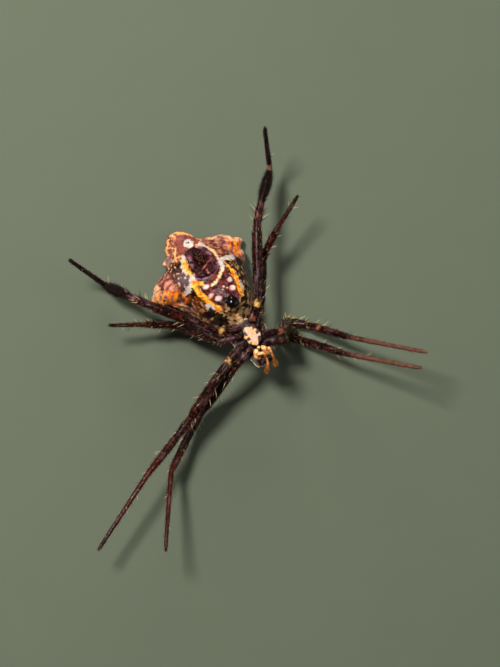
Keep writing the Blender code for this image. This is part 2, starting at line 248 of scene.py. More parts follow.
abdomenSkin = cuticle("abdomenSkin", {
    "roughness": 0.28, "blotch": 0.5, "grain": 0.07, "dark": 0.74, "light": 1.14, "speckle": 0.1,
    "pore": 0.16, "poreDepth": 0.035, "grainDepth": 0.03,
    "sockets": {"Specular_IOR_Level": 0.11}})
legSkin = cuticle("legSkin", {
    "roughness": 0.27, "blotch": 0.35, "grain": 0.06, "dark": 0.65, "light": 1.3, "speckle": 0.2,
    "pore": 0.12, "poreDepth": 0.025, "grainDepth": 0.02,
    "sockets": {"Specular_IOR_Level": 0.1}})
plateSkin = cuticle("plateSkin", {
    "roughness": 0.4, "blotch": 0.3, "grain": 0.05, "dark": 0.82, "light": 1.12, "speckle": 0.1,
    "pore": 0.1, "poreDepth": 0.015, "grainDepth": 0.015, "sockets": {}})
jawSkin = cuticle("jawSkin", {
    "roughness": 0.2, "blotch": 0.3, "grain": 0.05, "dark": 0.8, "light": 1.2, "speckle": 0.1,
    "pore": 0.12, "poreDepth": 0.01, "grainDepth": 0.006,
    "sockets": {"Specular_IOR_Level": 0.15, "Coat_Weight": 0.05, "Coat_Roughness": 0.12}})
eyeSkin = cuticle("eyeSkin", {
    "roughness": 0.12, "blotch": 0.2, "grain": 0.05, "dark": 0.9, "light": 1.1, "speckle": 0.02,
    "pore": 0.3, "poreDepth": 0.001, "grainDepth": 0.001,
    "sockets": {"Coat_Weight": 0.8, "Coat_Roughness": 0.05}})


def hairFinish():
    finish, tree, shader, coords = startFinish("hair", 0.4, Specular_IOR_Level=0.12)
    streak = addNoise(tree, coords, 0.12, 2.0)
    shade = addRange(tree, streak, 0.3, 0.7, 0.8, 1.2)
    tree.links.new(addProduct(tree, readTint(tree), shade), shader.inputs["Base Color"])
    return finish


hairSkin = hairFinish()


# a coat is one mesh of thin spindles, each a copy of a three-sided one
spindleCoat = {"sides": 3, "rings": 3, "patch": 0.003}
spindleMesh = bmesh.new()
bmesh.ops.create_uvsphere(spindleMesh, u_segments=spindleCoat["sides"],
                          v_segments=spindleCoat["rings"], radius=1)
spindlePoints = np.array([v.co for v in spindleMesh.verts])
spindleFaces = [[v.index for v in f.verts] for f in spindleMesh.faces]
spindleMesh.free()


def newCoat():
    return {key: [] for key in ("root", "way", "lean", "length", "width", "tint", "home")}


def skinFrame(lay, t, turn, step):
    # a place on a laid skin, the way along it and the way square to it
    along = lay(min(t + step, 1), turn) - lay(max(t - step, 0), turn)
    around = lay(t, turn + 0.02) - lay(t, turn - 0.02)
    return lay(t, turn), along.normalized(), along.cross(around).normalized()


def addHair(coat, root, way, lean, length, width, tint, home):
    for key, value in zip(coat, (root, way, lean, length, width, tint, home)):
        coat[key].append(value)


def growCoat(name, coat):
    root = np.array([tuple(r) for r in coat["root"]])
    way = np.array([tuple(w) for w in coat["way"]])
    lean = np.array([tuple(w) for w in coat["lean"]])
    length = np.array(coat["length"])[:, None]
    width = np.array(coat["width"])[:, None]
    count = len(root)
    way /= np.linalg.norm(way, axis=1)[:, None]
    side = np.cross(way, np.array([0.31, 0.22, 0.92]))
    side /= np.maximum(np.linalg.norm(side, axis=1)[:, None], 1e-6)
    other = np.cross(way, side)
    t = (1 - spindlePoints[:, 2]) / 2                        # 0 at the root, 1 at the tip
    taper = (1 - t) ** 0.6 * 1.15
    points = np.empty((count, len(t), 3))
    for n in range(len(t)):
        along = length * t[n]
        bow = lean * (length * t[n] ** 2)
        around = (side * spindlePoints[n, 0] + other * spindlePoints[n, 1]) * width * taper[n]
        points[:, n] = root + way * along + bow + around
    verts = placeMany(points.reshape(-1, 3))
    faces = np.array([f + f[-1:] if len(f) == 3 else f for f in spindleFaces])
    offsets = np.arange(count)[:, None, None] * len(t)
    allFaces = (faces[None] + offsets).reshape(-1, 4)
    isTriangle = np.tile(np.array([len(f) == 3 for f in spindleFaces]), count)
    faceList = [tuple(f[:3]) if three else tuple(f) for f, three in zip(allFaces.tolist(),
                                                                        isTriangle.tolist())]
    mesh = bpy.data.meshes.new(name)
    mesh.from_pydata(verts.tolist(), [], faceList)
    tints = np.repeat(np.array([(*c, 1.0) for c in coat["tint"]]), len(t), axis=0)
    layer = mesh.attributes.new("tint", "FLOAT_COLOR", "POINT")
    layer.data.foreach_set("color", tints.astype(np.float32).ravel())
    # each hair keeps a small patch of the unwrap where its root stands
    patch = spindlePoints[:, :2] * (1 - t[:, None]) * 0.5 + np.stack([t, t], 1) * 0.2
    homes = np.repeat(np.array(coat["home"]), len(t), axis=0)
    homes += np.tile(patch * spindleCoat["patch"], (count, 1))
    loopVerts = np.empty(len(mesh.loops), dtype=np.int32)
    mesh.loops.foreach_get("vertex_index", loopVerts)
    bakeMap = mesh.uv_layers.new(name="OFBake")
    bakeMap.data.foreach_set("uv", np.clip(homes[loopVerts], 0, 1).astype(np.float32).ravel())
    addPiece(mesh, hairSkin)
    print(name, count, "hairs")


# camera and light
cameraLook = {"lean": 12.0, "roll": -61.0, "distance": 350.0, "frameHeight": 73.4,
              "aim": (0.16, 0.28, -1.5)}


def setCamera():
    lean, roll = radians(cameraLook["lean"]), radians(cameraLook["roll"])
    toRight = Vector((cos(lean), 0, sin(lean)))
    toHead = Vector((0, -1, 0))
    toCamera = Vector((-sin(lean), 0, cos(lean)))
    across = toRight * -sin(roll) + toHead * cos(roll)
    upward = toRight * cos(roll) + toHead * sin(roll)
    turned = restPlace.to_3x3()
    basis = Matrix((turned @ across, turned @ upward, turned @ toCamera)).transposed()
    target = restPlace @ (Vector(cameraLook["aim"]) * mm)
    camera = bpy.data.cameras.new("camera")
    camera.lens = 36 * cameraLook["distance"] / cameraLook["frameHeight"]
    camera.clip_start = 0.005
    camera.clip_end = 10
    seat = addObject("camera", camera)
    seat.matrix_world = (Matrix.Translation(target + turned @ toCamera
                                            * (cameraLook["distance"] * mm))
                         @ basis.to_4x4())
    bpy.context.scene.camera = seat


studio = {"floor": srgb(76, 84, 68), "floorSize": 1.2,
          "key": {"spot": (-0.1, 0.18, 0.32), "size": 0.06, "power": 2.5},
          "fill": {"spot": (0.25, -0.12, 0.22), "size": 0.3, "power": 0.32},
          "rim": {"spot": (0.1, 0.28, 0.14), "size": 0.15, "power": 0.6},
          "lamps": (1.0, 0.97, 0.92), "sky": (1.0, 0.95, 0.88), "skyPower": 0.06}


def setStudio():
    bm = bmesh.new()
    bmesh.ops.create_grid(bm, x_segments=1, y_segments=1, size=studio["floorSize"] / 2)
    mesh = bpy.data.meshes.new("studioFloor")
    bm.to_mesh(mesh)
    bm.free()
    finish, tree, shader, coords = startFinish("floorPaper", 0.8)
    tone = addRange(tree, addNoise(tree, coords, 6.0), 0.3, 0.7, 0.97, 1.0)
    tree.links.new(addProduct(tree, studio["floor"], tone), shader.inputs["Base Color"])
    mesh.materials.append(finish)
    addObject("studioFloor", mesh)
    for name in ("key", "fill", "rim"):
        look = studio[name]
        lamp = bpy.data.lights.new(name, "AREA")
        lamp.shape = "DISK"
        lamp.size = look["size"]
        lamp.energy = look["power"]
        lamp.color = studio["lamps"]
        holder = addObject(name, lamp)
        holder.location = look["spot"]
        holder.rotation_euler = Vector(look["spot"]).to_track_quat("Z", "Y").to_euler()
    world = bpy.data.worlds.new("studio")
    world.use_nodes = True
    backdrop = world.node_tree.nodes["Background"]
    backdrop.inputs["Color"].default_value = (*studio["sky"], 1)
    backdrop.inputs["Strength"].default_value = studio["skyPower"]
    bpy.context.scene.world = world
    bpy.context.scene.view_settings.view_transform = "Standard"


setCamera()
setStudio()
print("camera and studio set")


# abdomen: place along, half width, belly side and back of its sections, as in the solids
abdomenShape = {
    "sections": ((0.35, 0.7, -4.3, -5.9), (0.75, 1.9, -3.5, -7.2), (1.7, 2.75, -3.05, -8.2),
                 (2.5, 3.0, -2.05, -8.8), (3.2, 3.15, -1.15, -9.0), (4.3, 3.35, -0.2, -9.0),
                 (6.4, 3.9, -0.35, -9.0), (8.5, 4.2, -1.0, -9.0), (10.2, 3.5, -2.6, -8.0),
                 (11.8, 2.3, -3.9, -7.3), (13.1, 1.6, -4.7, -6.9), (13.9, 1.0, -5.1, -6.5)),
    # side, place along, reach, half breadth along, bluntness
    "tubercles": ((-1, 2.2, 1.15, 0.75, 2), (-1, 4.4, 0.25, 0.7, 2), (-1, 6.6, 0.65, 0.9, 2),
                  (-1, 8.5, 0.5, 0.6, 2), (-1, 8.95, 1.9, 1.65, 4), (-1, 11.65, 0.75, 0.45, 2),
                  (-1, 12.9, 0.2, 0.6, 2), (1, 6.3, 0.3, 1.2, 2), (1, 8.8, 1.35, 1.3, 2),
                  (1, 10.6, 2.15, 1.15, 4), (1, 11.75, 0.7, 0.45, 4), (1, 13.5, 0.2, 0.4, 2)),
    "marginAngle": -14.0, "marginSpread": 30.0, "drift": -0.0078,
    "lobeReach": 0.5, "inset": 0.06, "capShare": 0.04, "mound": (-0.6, 9.6, 1.55),
    "around": 264, "along": 300}
# folds of the spinnerets' mound: place, breadth and height
moundFolds = ((0.8, 10.0, 0.42, 0.3), (-0.95, 11.2, 0.26, 0.3), (-1.7, 9.9, 0.4, 0.3),
              (-0.3, 8.75, 0.5, 0.26), (0.4, 10.8, 0.32, 0.3), (-1.4, 10.7, 0.3, 0.26),
              (-1.3, 8.95, 0.36, 0.2), (0.45, 9.2, 0.34, 0.2), (-0.1, 9.3, 0.16, 0.14),
              (-1.15, 9.5, 0.18, 0.16), (0.35, 9.75, 0.16, 0.14), (-0.75, 8.3, 0.3, 0.12))
muscleDents = ((-1.0, 5.0), (0.55, 5.0), (-1.15, 6.4), (0.75, 6.1), (-1.2, 7.5), (0.6, 7.3),
               (-2.6, 5.6), (2.3, 5.6), (-2.9, 8.2), (2.3, 7.9))


def abdomenPoint(spot, angle, grow=0.0):
    shape = abdomenShape
    half = curveValue(shape["sections"], spot, 1) + grow
    belly = curveValue(shape["sections"], spot, 2) + grow
    back = curveValue(shape["sections"], spot, 3) - grow
    middle = 0.42 * belly + 0.58 * back
    turn = radians(angle)
    x = half * cos(turn)
    z = middle + (belly - middle if sin(turn) > 0 else middle - back) * sin(turn)
    fromSide = angle if abs(angle) <= 90 else (180 - angle if angle > 0 else -180 - angle)
    share = exp(-((fromSide - shape["marginAngle"]) / shape["marginSpread"]) ** 2)
    for side, along, reach, breadth, bluntness in shape["tubercles"]:
        if side * x > 0:
            x += side * reach * share * exp(-abs((spot - along) / breadth) ** bluntness)
    return Vector((x + shape["drift"] * max(spot - 2.0, 0) ** 2, spot, z))


def lobeShare(point):
    # how far out on one of the larger tubercles a point lies
    best = 0.0
    middle = abdomenShape["drift"] * max(point.y - 2.0, 0) ** 2
    for side, along, reach, breadth, bluntness in abdomenShape["tubercles"]:
        if reach >= abdomenShape["lobeReach"] and side * (point.x - middle) > 0:
            root = curveValue(abdomenShape["sections"], point.y, 1)
            out = (side * (point.x - middle) - root * 0.82) / max(reach, 0.8)
            near = exp(-abs((point.y - along) / (breadth * 1.15)) ** bluntness)
            best = max(best, clamp(out) * near)
    return best


def bellyRelief(x, y):
    # the spinnerets' mound with its folds and furrow, and the shallow dents of the muscles
    midX, midY, ring = abdomenShape["mound"]
    away = hypot(x - midX, (y - midY) * 0.85) + 0.35 * wobble((x, y, 3), 0.9)
    lift = 0.2 * exp(-((away - ring + 0.35) / 0.35) ** 2)
    lift -= 0.14 * exp(-((away - ring - 0.25) / 0.25) ** 2) + 0.3 * exp(-(away / 0.75) ** 2)
    lift += 0.13 * wobble((x, y, 9), 0.42) * exp(-(away / ring) ** 4)
    for foldX, foldY, breadth, height in moundFolds:
        lift += height * exp(-(hypot(x - foldX, y - foldY) / breadth) ** 2)
    for dentX, dentY in muscleDents:
        lift -= 0.09 * exp(-(hypot(x - dentX, y - dentY) / 0.26) ** 2)
    return lift


def abdomenLay(t, turn):
    shape = abdomenShape
    first, last, cap = shape["sections"][0][0], shape["sections"][-1][0], shape["capShare"]
    angle = turn * 180 / pi
    inside = -shape["inset"]
    if t < cap or t > 1 - cap:
        end, sign, k = (first, -1, t / cap) if t < cap else (last, 1, (1 - t) / cap)
        rim = abdomenPoint(end, angle, inside)
        middle = (abdomenPoint(end, 0, inside) + abdomenPoint(end, 180, inside)) / 2
        bulge = cos(k * pi / 2) * 0.3
        return middle + (rim - middle) * sin(k * pi / 2) + Vector((0, sign * bulge, 0))
    spot = first + (last - first) * (t - cap) / (1 - 2 * cap)
    point = abdomenPoint(spot, angle, inside)
    out = Vector((cos(turn), 0, sin(turn)))
    wrinkle = (0.07 * wobble(point, 0.9) + 0.035 * wobble(point, 0.33, 3)
               + 0.2 * lobeShare(point) * lobeWart(point))
    belly = ease(0.15, 0.6, sin(turn))
    return point + out * (wrinkle + belly * bellyRelief(point.x, point.y))


skinTones = toneTable(field=(44, 14, 18), fieldLight=(98, 50, 60), flank=(96, 48, 30),
                      flankDark=(26, 10, 8), cream=(226, 178, 126), yellow=(238, 176, 24),
                      orange=(224, 102, 10), white=(184, 174, 164), pink=(186, 116, 94),
                      tail=(124, 66, 54), net=(230, 160, 100), tan=(224, 184, 126),
                      black=(10, 5, 5), silver=(196, 194, 186), mound=(24, 4, 5),
                      rust=(102, 32, 18), rosy=(186, 104, 100), slate=(100, 82, 92),
                      plum=(112, 58, 66), blush=(222, 164, 136), lilac=(150, 108, 124))

# stripes as paths over the belly face, each with its half width and tone
bellyStripes = (
    ("white", 0.24, ((-1.85, 11.1), (-2.2, 10.6), (-2.45, 9.9))),
    ("white", 0.26, ((-2.3, 10.1), (-2.55, 9.6))),
    ("yellow", 0.2, ((-2.05, 10.75), (-2.3, 10.1), (-2.3, 9.3), (-2.4, 8.7))),
    ("white", 0.3, ((-2.4, 8.75), (-2.7, 8.2), (-3.1, 7.85), (-3.6, 7.5))),
    ("yellow", 0.17, ((-2.6, 8.1), (-2.3, 7.9), (-1.85, 7.65))),
    ("yellow", 0.23, ((-2.55, 8.1), (-2.7, 7.4), (-2.55, 6.7), (-2.3, 5.8), (-2.05, 4.9),
                      (-1.65, 4.2), (-1.95, 3.8))),
    ("white", 0.24, ((-2.5, 5.2), (-2.3, 4.7))),
    ("white", 0.15, ((0.75, 11.8), (1.1, 11.2), (1.35, 10.4))),
    ("cream", 0.17, ((1.2, 10.9), (1.4, 10.1), (1.3, 9.3), (1.25, 8.8))),
    ("white", 0.26, ((1.3, 8.95), (2.2, 8.85), (3.0, 8.6))),
    ("white", 0.2, ((1.25, 8.9), (1.15, 8.3), (0.7, 7.9))),
    ("cream", 0.1, ((0.7, 7.9), (0.25, 7.45), (-0.4, 7.1), (-1.1, 6.95))),
    # the lilac and rosy lines round the spinnerets' mound are painted highlights
    ("lilac", 0.07, ((-2.2, 8.4), (-1.67, 8.1), (-1.0, 7.9), (-0.4, 7.9), (0.1, 8.1),
                     (0.72, 8.55), (0.9, 9.0))),
    ("rosy", 0.03, ((-1.78, 8.68), (-0.58, 9.16), (0.55, 9.55))),
    ("rosy", 0.03, ((-0.63, 9.0), (-0.79, 8.33))),
    ("yellow", 0.15, ((1.55, 8.4), (1.75, 7.9), (1.75, 7.3))),
    ("yellow", 0.25, ((1.75, 7.3), (1.7, 6.4), (1.6, 5.6), (1.35, 4.9), (1.3, 4.4))),
    ("white", 0.14, ((1.98, 5.9), (1.9, 5.1))))
bellySpots = (
    ("white", -0.35, 12.35, 0.56), ("white", -1.75, 7.1, 0.25), ("white", 0.92, 6.55, 0.24),
    ("white", 0.72, 5.6, 0.27), ("white", -1.75, 6.0, 0.2), ("white", -1.25, 5.3, 0.27),
    ("tan", -0.1, 6.2, 0.12), ("tan", -0.35, 5.95, 0.09), ("tan", 0.15, 5.9, 0.09),
    # the lilac spots round the spinnerets' mound are painted highlights
    ("lilac", 0.6, 11.3, 0.24), ("lilac", 0.8, 10.4, 0.2), ("lilac", 0.72, 10.05, 0.15),
    ("lilac", -1.4, 10.9, 0.28), ("lilac", -1.65, 9.92, 0.2), ("lilac", -0.58, 10.65, 0.14),
    ("blush", 0.22, 11.6, 0.17), ("plum", 0.6, 9.5, 0.36),
    ("black", -2.15, 3.4, 0.6), ("black", 1.4, 3.85, 0.4), ("black", -2.65, 4.4, 0.4),
    ("black", -1.7, 2.75, 0.55), ("black", 1.5, 3.1, 0.3),
    ("black", -3.4, 6.85, 0.6), ("black", -0.1, 4.25, 0.72), ("black", 3.4, 7.9, 0.5),
    ("black", -0.58, 12.5, 0.09), ("black", -0.34, 12.42, 0.1))
# pale lines on the tail lobe
tailLines = (
    (0.1, ((-1.0, 14.2), (-1.8, 13.9), (-2.4, 13.2), (-2.9, 12.4))),
    (0.1, ((-1.9, 12.5), (-2.4, 11.9), (-2.6, 10.95))), (0.08, ((-2.2, 11.5), (-1.4, 11.35),
                                                                  (-0.7, 11.1))),
    (0.12, ((-1.0, 14.2), (0.05, 13.5), (0.9, 12.8), (1.1, 12.1))),
    (0.07, ((0.0, 12.1), (0.6, 11.5), (0.9, 11.8))), (0.07, ((-1.9, 12.5), (-2.3, 12.9))))


def nearPath(x, y, path):
    best = 9.0
    for (ax, ay), (bx, by) in zip(path, path[1:]):
        dx, dy = bx - ax, by - ay
        k = clamp(((x - ax) * dx + (y - ay) * dy) / (dx * dx + dy * dy))
        best = min(best, hypot(x - ax - dx * k, y - ay - dy * k))
    return best


def lineShare(x, y, lines, rough):
    best = 0.0
    for width, path in lines:
        away = nearPath(x, y, path)
        best = max(best, 1 - ease(-0.05, 0.06, away - width + 0.1 * rough))
    return best


def lobeWart(point):
    return wobble(point, 0.62, 7) + 0.45 * wobble(point, 0.3, 8)


def lobePaint(point, rough, fine):
    # greyish pink brown in broad patches; painted highlights on the warts and a painted cream
    # highlight along the rim, painted shade between the warts
    out, wart = lobeShare(point), lobeWart(point)
    colour = paint(skinTones, "tail", pink=ease(-0.15, 0.25, wobble(point, 0.8, 27)),
                   rust=0.7 * ease(0.05, 0.3, wobble(point, 0.5, 33)),
                   slate=0.5 * ease(0.05, 0.35, wobble(point, 0.6, 35)),
                   blush=0.45 * ease(0.12, 0.4, wart + 0.1 * fine),
                   flankDark=0.6 * ease(0.16, 0.4, -wart - 0.25 * fine),
                   cream=0.75 * ease(0.86, 1.04, out + 0.3 * rough))
    return colour, ease(0.1, 0.4, out + 0.15 * rough)


def flankPaint(point, rough, fine):
    # brown flanks hatched with cream along the body, marbled with orange by the left hip
    x, y = point.x, point.y
    hatch = wobble((x * 4.4, y * 1.7, point.z * 3.4))
    marble = ease(7.6, 6.6, y) * ease(-2.3, -3.0, x)
    maroon = ease(8.9, 9.7, y + 0.4 * rough) * ease(1.0, 1.7, x)
    pale = ease(0.24, 0.44, hatch + 0.35 * fine + 0.1 * marble - 0.12 * maroon)
    return paint(skinTones, "flank", flankDark=ease(-0.4, 0.05, rough),
                 slate=0.85 * exp(-(hypot(x + 3.0, y - 9.0) / 0.95) ** 2),
                 orange=0.35 * marble * ease(-0.1, 0.3, rough),
                 rust=0.8 * maroon * ease(-0.3, 0.2, rough),
                 pink=0.6 * maroon * ease(0.1, 0.35, wobble(point, 0.45, 45)),
                 cream=(0.66 - 0.2 * marble - 0.2 * maroon) * pale)


def fieldPaint(colour, point, rough, toMound):
    # dark field with painted purplish highlight patches, and the deeper mound in it
    x, y, ring = point.x, point.y, abdomenShape["mound"][2]
    inField = min(nearPath(x, y, ((-0.35, 5.2), (-0.5, 8.4))) - 1.7,
                  toMound - ring - 0.35) + 0.25 * rough
    field = paint(skinTones, "field", fieldLight=ease(0.05, 0.5, rough + 0.12),
                  rust=0.8 * ease(0.1, 0.35, wobble(point, 0.6, 15)))
    colour = blend(colour, field, 1 - ease(-0.12, 0.12, inField))
    deep = 1 - ease(ring - 0.5, ring + 0.5, toMound + 1.6 * wobble(point, 0.8, 19))
    colour = paint(skinTones, colour, mound=0.92 * deep)
    # painted purplish highlights on the crests of the mound's folds
    if toMound < ring + 0.6:
        crestHighlight = ease(0.2, 0.42, bellyRelief(x, y) + 0.4 * rough)
        share = 0.2 * crestHighlight * ease(ring + 0.6, ring, toMound)
        colour = paint(skinTones, colour, plum=share)
    return colour


def frontPaint(colour, point, rough, fine):
    # tan front with dark mottles
    tones = skinTones
    front = ease(4.7, 3.7, point.y + 0.4 * rough) * ease(3.4, 2.2, abs(point.x))
    mottle = ease(-0.05, 0.3, wobble(point, 0.5, 9) + 0.4 * rough - 0.1 * fine)
    deeper = paint(tones, "flank", flankDark=ease(-0.1, 0.3, wobble(point, 0.7, 39)))
    beige = paint(tones, "tan", flank=0.35 + 0.3 * ease(-0.2, 0.4, rough))
    return blend(colour, blend(beige, deeper, mottle), front)


def tailPaint(colour, point, rough, toMound, knob):
    # the tail lobe with its pale lines
    x, y, ring = point.x, point.y, abdomenShape["mound"][2]
    tail = ease(10.9, 11.5, y + 0.3 * rough) * ease(2.6, 2.0, abs(x + 0.8) - 0.3)
    tail *= ease(0.4, 0.6, knob)
    tail *= ease(ring + 0.2, ring + 0.45, toMound)
    warpX = x + 0.16 * wobble((x, y, 4), 0.45)
    warpY = y + 0.16 * wobble((x, y, 14), 0.45)
    cells = noise.voronoi(Vector((warpX * 1.6, warpY * 0.9, point.z)) / 0.46)[0]
    outer = ease(13.1, 13.8, y) + ease(-1.5, -2.1, x) + ease(0.5, 0.9, x)
    net = (1 - ease(0.0, 0.14, cells[1] - cells[0] + 0.2 * rough)) * clamp(outer) * 0.65
    net = max(net, lineShare(warpX, warpY, tailLines, 2.2 * rough))
    skin = paint(skinTones, "tail", rust=ease(-0.2, 0.4, rough),
                 slate=0.35 * ease(0.0, 0.4, wobble(point, 0.5, 37)), net=net)
    return blend(colour, skin, tail)


def stripePaint(colour, point, rough, fine):
    tones = skinTones
    for tone, width, path in bellyStripes:
        away = nearPath(point.x, point.y, path)
        if away < width + 0.3:
            share = 1 - ease(-0.08, 0.08, away - width + 0.3 * rough + 0.07 * fine)
            if tone == "yellow":
                stripe = paint(tones, tone, orange=ease(-0.15, 0.3, wobble(point, 0.3, 5)),
                               white=0.6 * ease(0.2, 0.4, fine + rough))
            else:
                stripe = paint(tones, tone, rosy=0.45 * ease(0.1, 0.5, fine + rough))
            colour = blend(colour, stripe, (0.6 if tone in ("lilac", "rosy") else 0.95) * share)
    return colour


# how strongly each tone of spot covers, where it isn't whole
spotStrength = {"black": 0.96, "lilac": 0.5, "plum": 0.4, "blush": 0.7}


def spotPaint(colour, point, rough):
    x, y = point.x, point.y
    for tone, spotX, spotY, size in bellySpots:
        away = hypot((x - spotX) / (1.25 if 0.15 < size < 0.3 else 1.0), y - spotY)
        if away < size + 0.4:
            uneven = 1.5 if tone == "lilac" or tone == "black" and size > 0.2 else 0.35
            away += uneven * size * wobble((x, y, 0), 0.3 + 0.1 * uneven, spotX) + 0.06 * rough
            edge = away - size
            if tone == "white":
                colour = paint(skinTones, colour, rosy=0.8 - 0.8 * ease(0.0, 0.1, edge))
            share = (1 - ease(-0.07, 0.05, edge)) * spotStrength.get(tone, 1.0)
            colour = paint(skinTones, colour, **{tone: share})
    return colour


def bellyTint(point):
    rough = 0.5 * wobble(point, 0.22) + 0.5 * wobble(point, 0.5, 4)
    fine = wobble(point, 0.11)
    midX, midY = abdomenShape["mound"][:2]
    toMound = hypot(point.x - midX, (point.y - midY) * 0.85)
    colour = flankPaint(point, rough, fine)
    colour = fieldPaint(colour, point, rough, toMound)
    colour = frontPaint(colour, point, rough, fine)
    lobeTone, lobe = lobePaint(point, rough, fine)
    # a slate wart beside the tail
    knob = hypot(point.x + 3.1, point.y - 11.6)
    lobeTone = paint(skinTones, lobeTone, slate=0.7 - 0.7 * ease(0.3, 0.5, knob))
    colour = tailPaint(blend(colour, lobeTone, lobe), point, rough, toMound, knob)
    return spotPaint(stripePaint(colour, point, rough, fine), point, rough)


def backTint(point):
    # silver front half, then dark with paired yellow spots, as the species wears it
    x, y = point.x, point.y
    rough = 0.5 * wobble(point, 0.3) + 0.5 * wobble(point, 0.7, 6)
    colour = paint(skinTones, "silver", cream=ease(0.0, 0.5, rough),
                   flankDark=ease(5.4, 6.3, y + 0.9 * rough))
    for n in range(5):
        away = min(hypot(x + 0.3 - side * (2.6 - 0.3 * n), y - 7.0 - 1.4 * n) for side in (-1, 1))
        share = 1 - ease(0.25, 0.5, away + 0.25 * rough)
        colour = paint(skinTones, colour, yellow=share)
    lobeTone, lobe = lobePaint(point, rough, wobble(point, 0.11))
    return blend(colour, lobeTone, lobe)


def blackTint(t, turn, point):
    return skinTones["black"]


# orange strokes on the side lobes: middle, half breadths across and along the strokes
orangeDabs = ((-5.35, 7.85, 1.7, 0.9), (4.25, 9.5, 0.8, 0.9))


def dabTint(point, colour):
    for dabX, dabY, wide, long in orangeDabs:
        dx, dy = point.x - dabX, point.y - dabY
        across, down = 0.88 * dx - 0.47 * dy, -0.49 * dx - 0.87 * dy
        away = hypot(across / wide, down / long)
        if away < 1.6:
            stroke = wobble((across * 3.6, down * 1.2, point.z * 0.6))
            share = (1 - ease(0.7, 1.4, away)) * ease(-0.16, 0.04, stroke)
            gold = ease(0.2, 0.42, stroke) * (1 - ease(0.5, 1.1, away))
            dark = ease(0.12, 0.3, -stroke) * (1 - ease(0.6, 1.2, away))
            colour = paint(skinTones, colour, orange=0.92 * share, yellow=0.7 * gold,
                           flankDark=0.6 * dark)
    return colour


def abdomenTint(t, turn, point):
    belly = ease(-0.42, -0.2, sin(turn) + 0.12 * wobble(point, 0.5, 2))
    colour = bellyTint(point) if belly > 0 else backTint(point)
    if 0 < belly < 1:
        colour = blend(backTint(point), colour, belly)
    return dabTint(point, colour)


waistShape = {"points": ((0, 1.6, -1.6), (0, 2.1, -1.7), (0, 2.9, -2.2)),
              "sizes": (0.4, 0.38, 0.5)}


def waistTint(t, turn, point):
    return paint(skinTones, "flank", tan=0.45,
                 flankDark=0.6 * ease(-0.05, 0.4, wobble(point, 0.35, 47)))


def makeAbdomen():
    bm = bmesh.new()
    addRound(bm, abdomenShape["around"], abdomenShape["along"], abdomenLay, abdomenTint)
    # the short waist joins it to the front body
    waist = makeLine(waistShape["points"], waistShape["sizes"], 20)
    addRound(bm, 32, 24, lambda t, turn: linePoint(waist, t, turn), waistTint)
    finishPiece(bm, "abdomenSkin", abdomenSkin, "abdomen", "abdomen", "waist")


# lines that round limbs follow: samples of place, frame, half thickness and distance
def makeLine(points, sizes, samples, soften=0.0):
    points = [Vector(p) for p in points]
    gaps = [(b - a).length for a, b in zip(points, points[1:])]
    total = sum(gaps)
    places, widths = [], []
    for n in range(samples):
        reach = total * n / (samples - 1)
        i, start = 0, 0.0
        while i < len(gaps) - 1 and start + gaps[i] < reach:
            start += gaps[i]
            i += 1
        k = clamp((reach - start) / gaps[i])
        places.append(points[i].lerp(points[i + 1], k))
        widths.append(sizes[i] + (sizes[i + 1] - sizes[i]) * k)
    span = round(soften / total * samples)
    if span:
        # each place moves to the mean of its neighbours, fewer of them near the ends
        spread = [min(span, n, samples - 1 - n) for n in range(samples)]
        places = [sum(places[n - near:n + near + 1], Vector()) / (2 * near + 1)
                  for n, near in enumerate(spread)]
    frames = []
    side = None
    for n in range(samples):
        ahead = (places[min(n + 1, samples - 1)] - places[max(n - 1, 0)]).normalized()
        if side is None:
            side = ahead.cross(Vector((0, 0, 1)))
            side = side if side.length > 0.1 else ahead.cross(Vector((0, 1, 0)))
        side = (side - ahead * side.dot(ahead)).normalized()
        frames.append((side, side.cross(ahead), ahead))
    return {"places": places, "widths": widths, "frames": frames, "total": total}


def lineAt(line, t):
    spot = clamp(t) * (len(line["places"]) - 1)
    i = min(int(spot), len(line["places"]) - 2)
    k = spot - i
    centre = line["places"][i].lerp(line["places"][i + 1], k)
    width = line["widths"][i] + (line["widths"][i + 1] - line["widths"][i]) * k
    side, up, ahead = line["frames"][i]
    return centre, width, side, up, ahead


def linePoint(line, t, turn, swell=1.0):
    centre, width, side, up, ahead = lineAt(line, t)
    toEnd = min(t, 1 - t) * line["total"] / max(width, 0.01)
    width *= sqrt(1 - (1 - min(toEnd, 1)) ** 2) * swell
    return centre + (side * cos(turn) + up * sin(turn)) * width


# legs: the same articles and pose as the solids
legShape = {
    "articles": {1: (1.7, 0.8, 7.6, 2.4, 5.7, 8.0, 1.8), 2: (1.8, 0.8, 7.6, 2.3, 5.6, 8.2, 1.8),
                 3: (1.6, 0.7, 5.2, 1.4, 2.6, 3.2, 1.2), 4: (1.8, 0.8, 8.0, 2.3, 5.0, 7.4, 1.6)},
    "stout": {1: 1.0, 2: 1.0, 3: 0.9, 4: 1.0},
    "hipHeight": -0.85,
    "hips": {1: (0.98, -1.32), 2: (1.2, -0.45), 3: (1.17, 0.55), 4: (0.87, 1.48)},
    "pose": {("L", 1): ((160, -14), (151, -47), (148, 19), (127, 21)),
             ("L", 2): ((163, 0), (151, -21), (158, 8), (152, -7)),
             ("L", 3): ((194, -10), (-127, -31), (-153, 17), (-155, 16)),
             ("L", 4): ((194, 12), (-131, 3), (-114, -53), (-130, 53)),
             ("R", 1): ((27, 2.5), (-25, -76), (53, 38), (45, 37)),
             ("R", 2): ((20, -4), (-12, -69), (52, 42), (46, 38)),
             ("R", 3): ((-50, -10), (-57, -5), (-36, 28), (-31, 23)),
             ("R", 4): ((-44, 22), (-62, 4), (-42, -22), (-92, 63))},
    "around": 18, "along": 420}

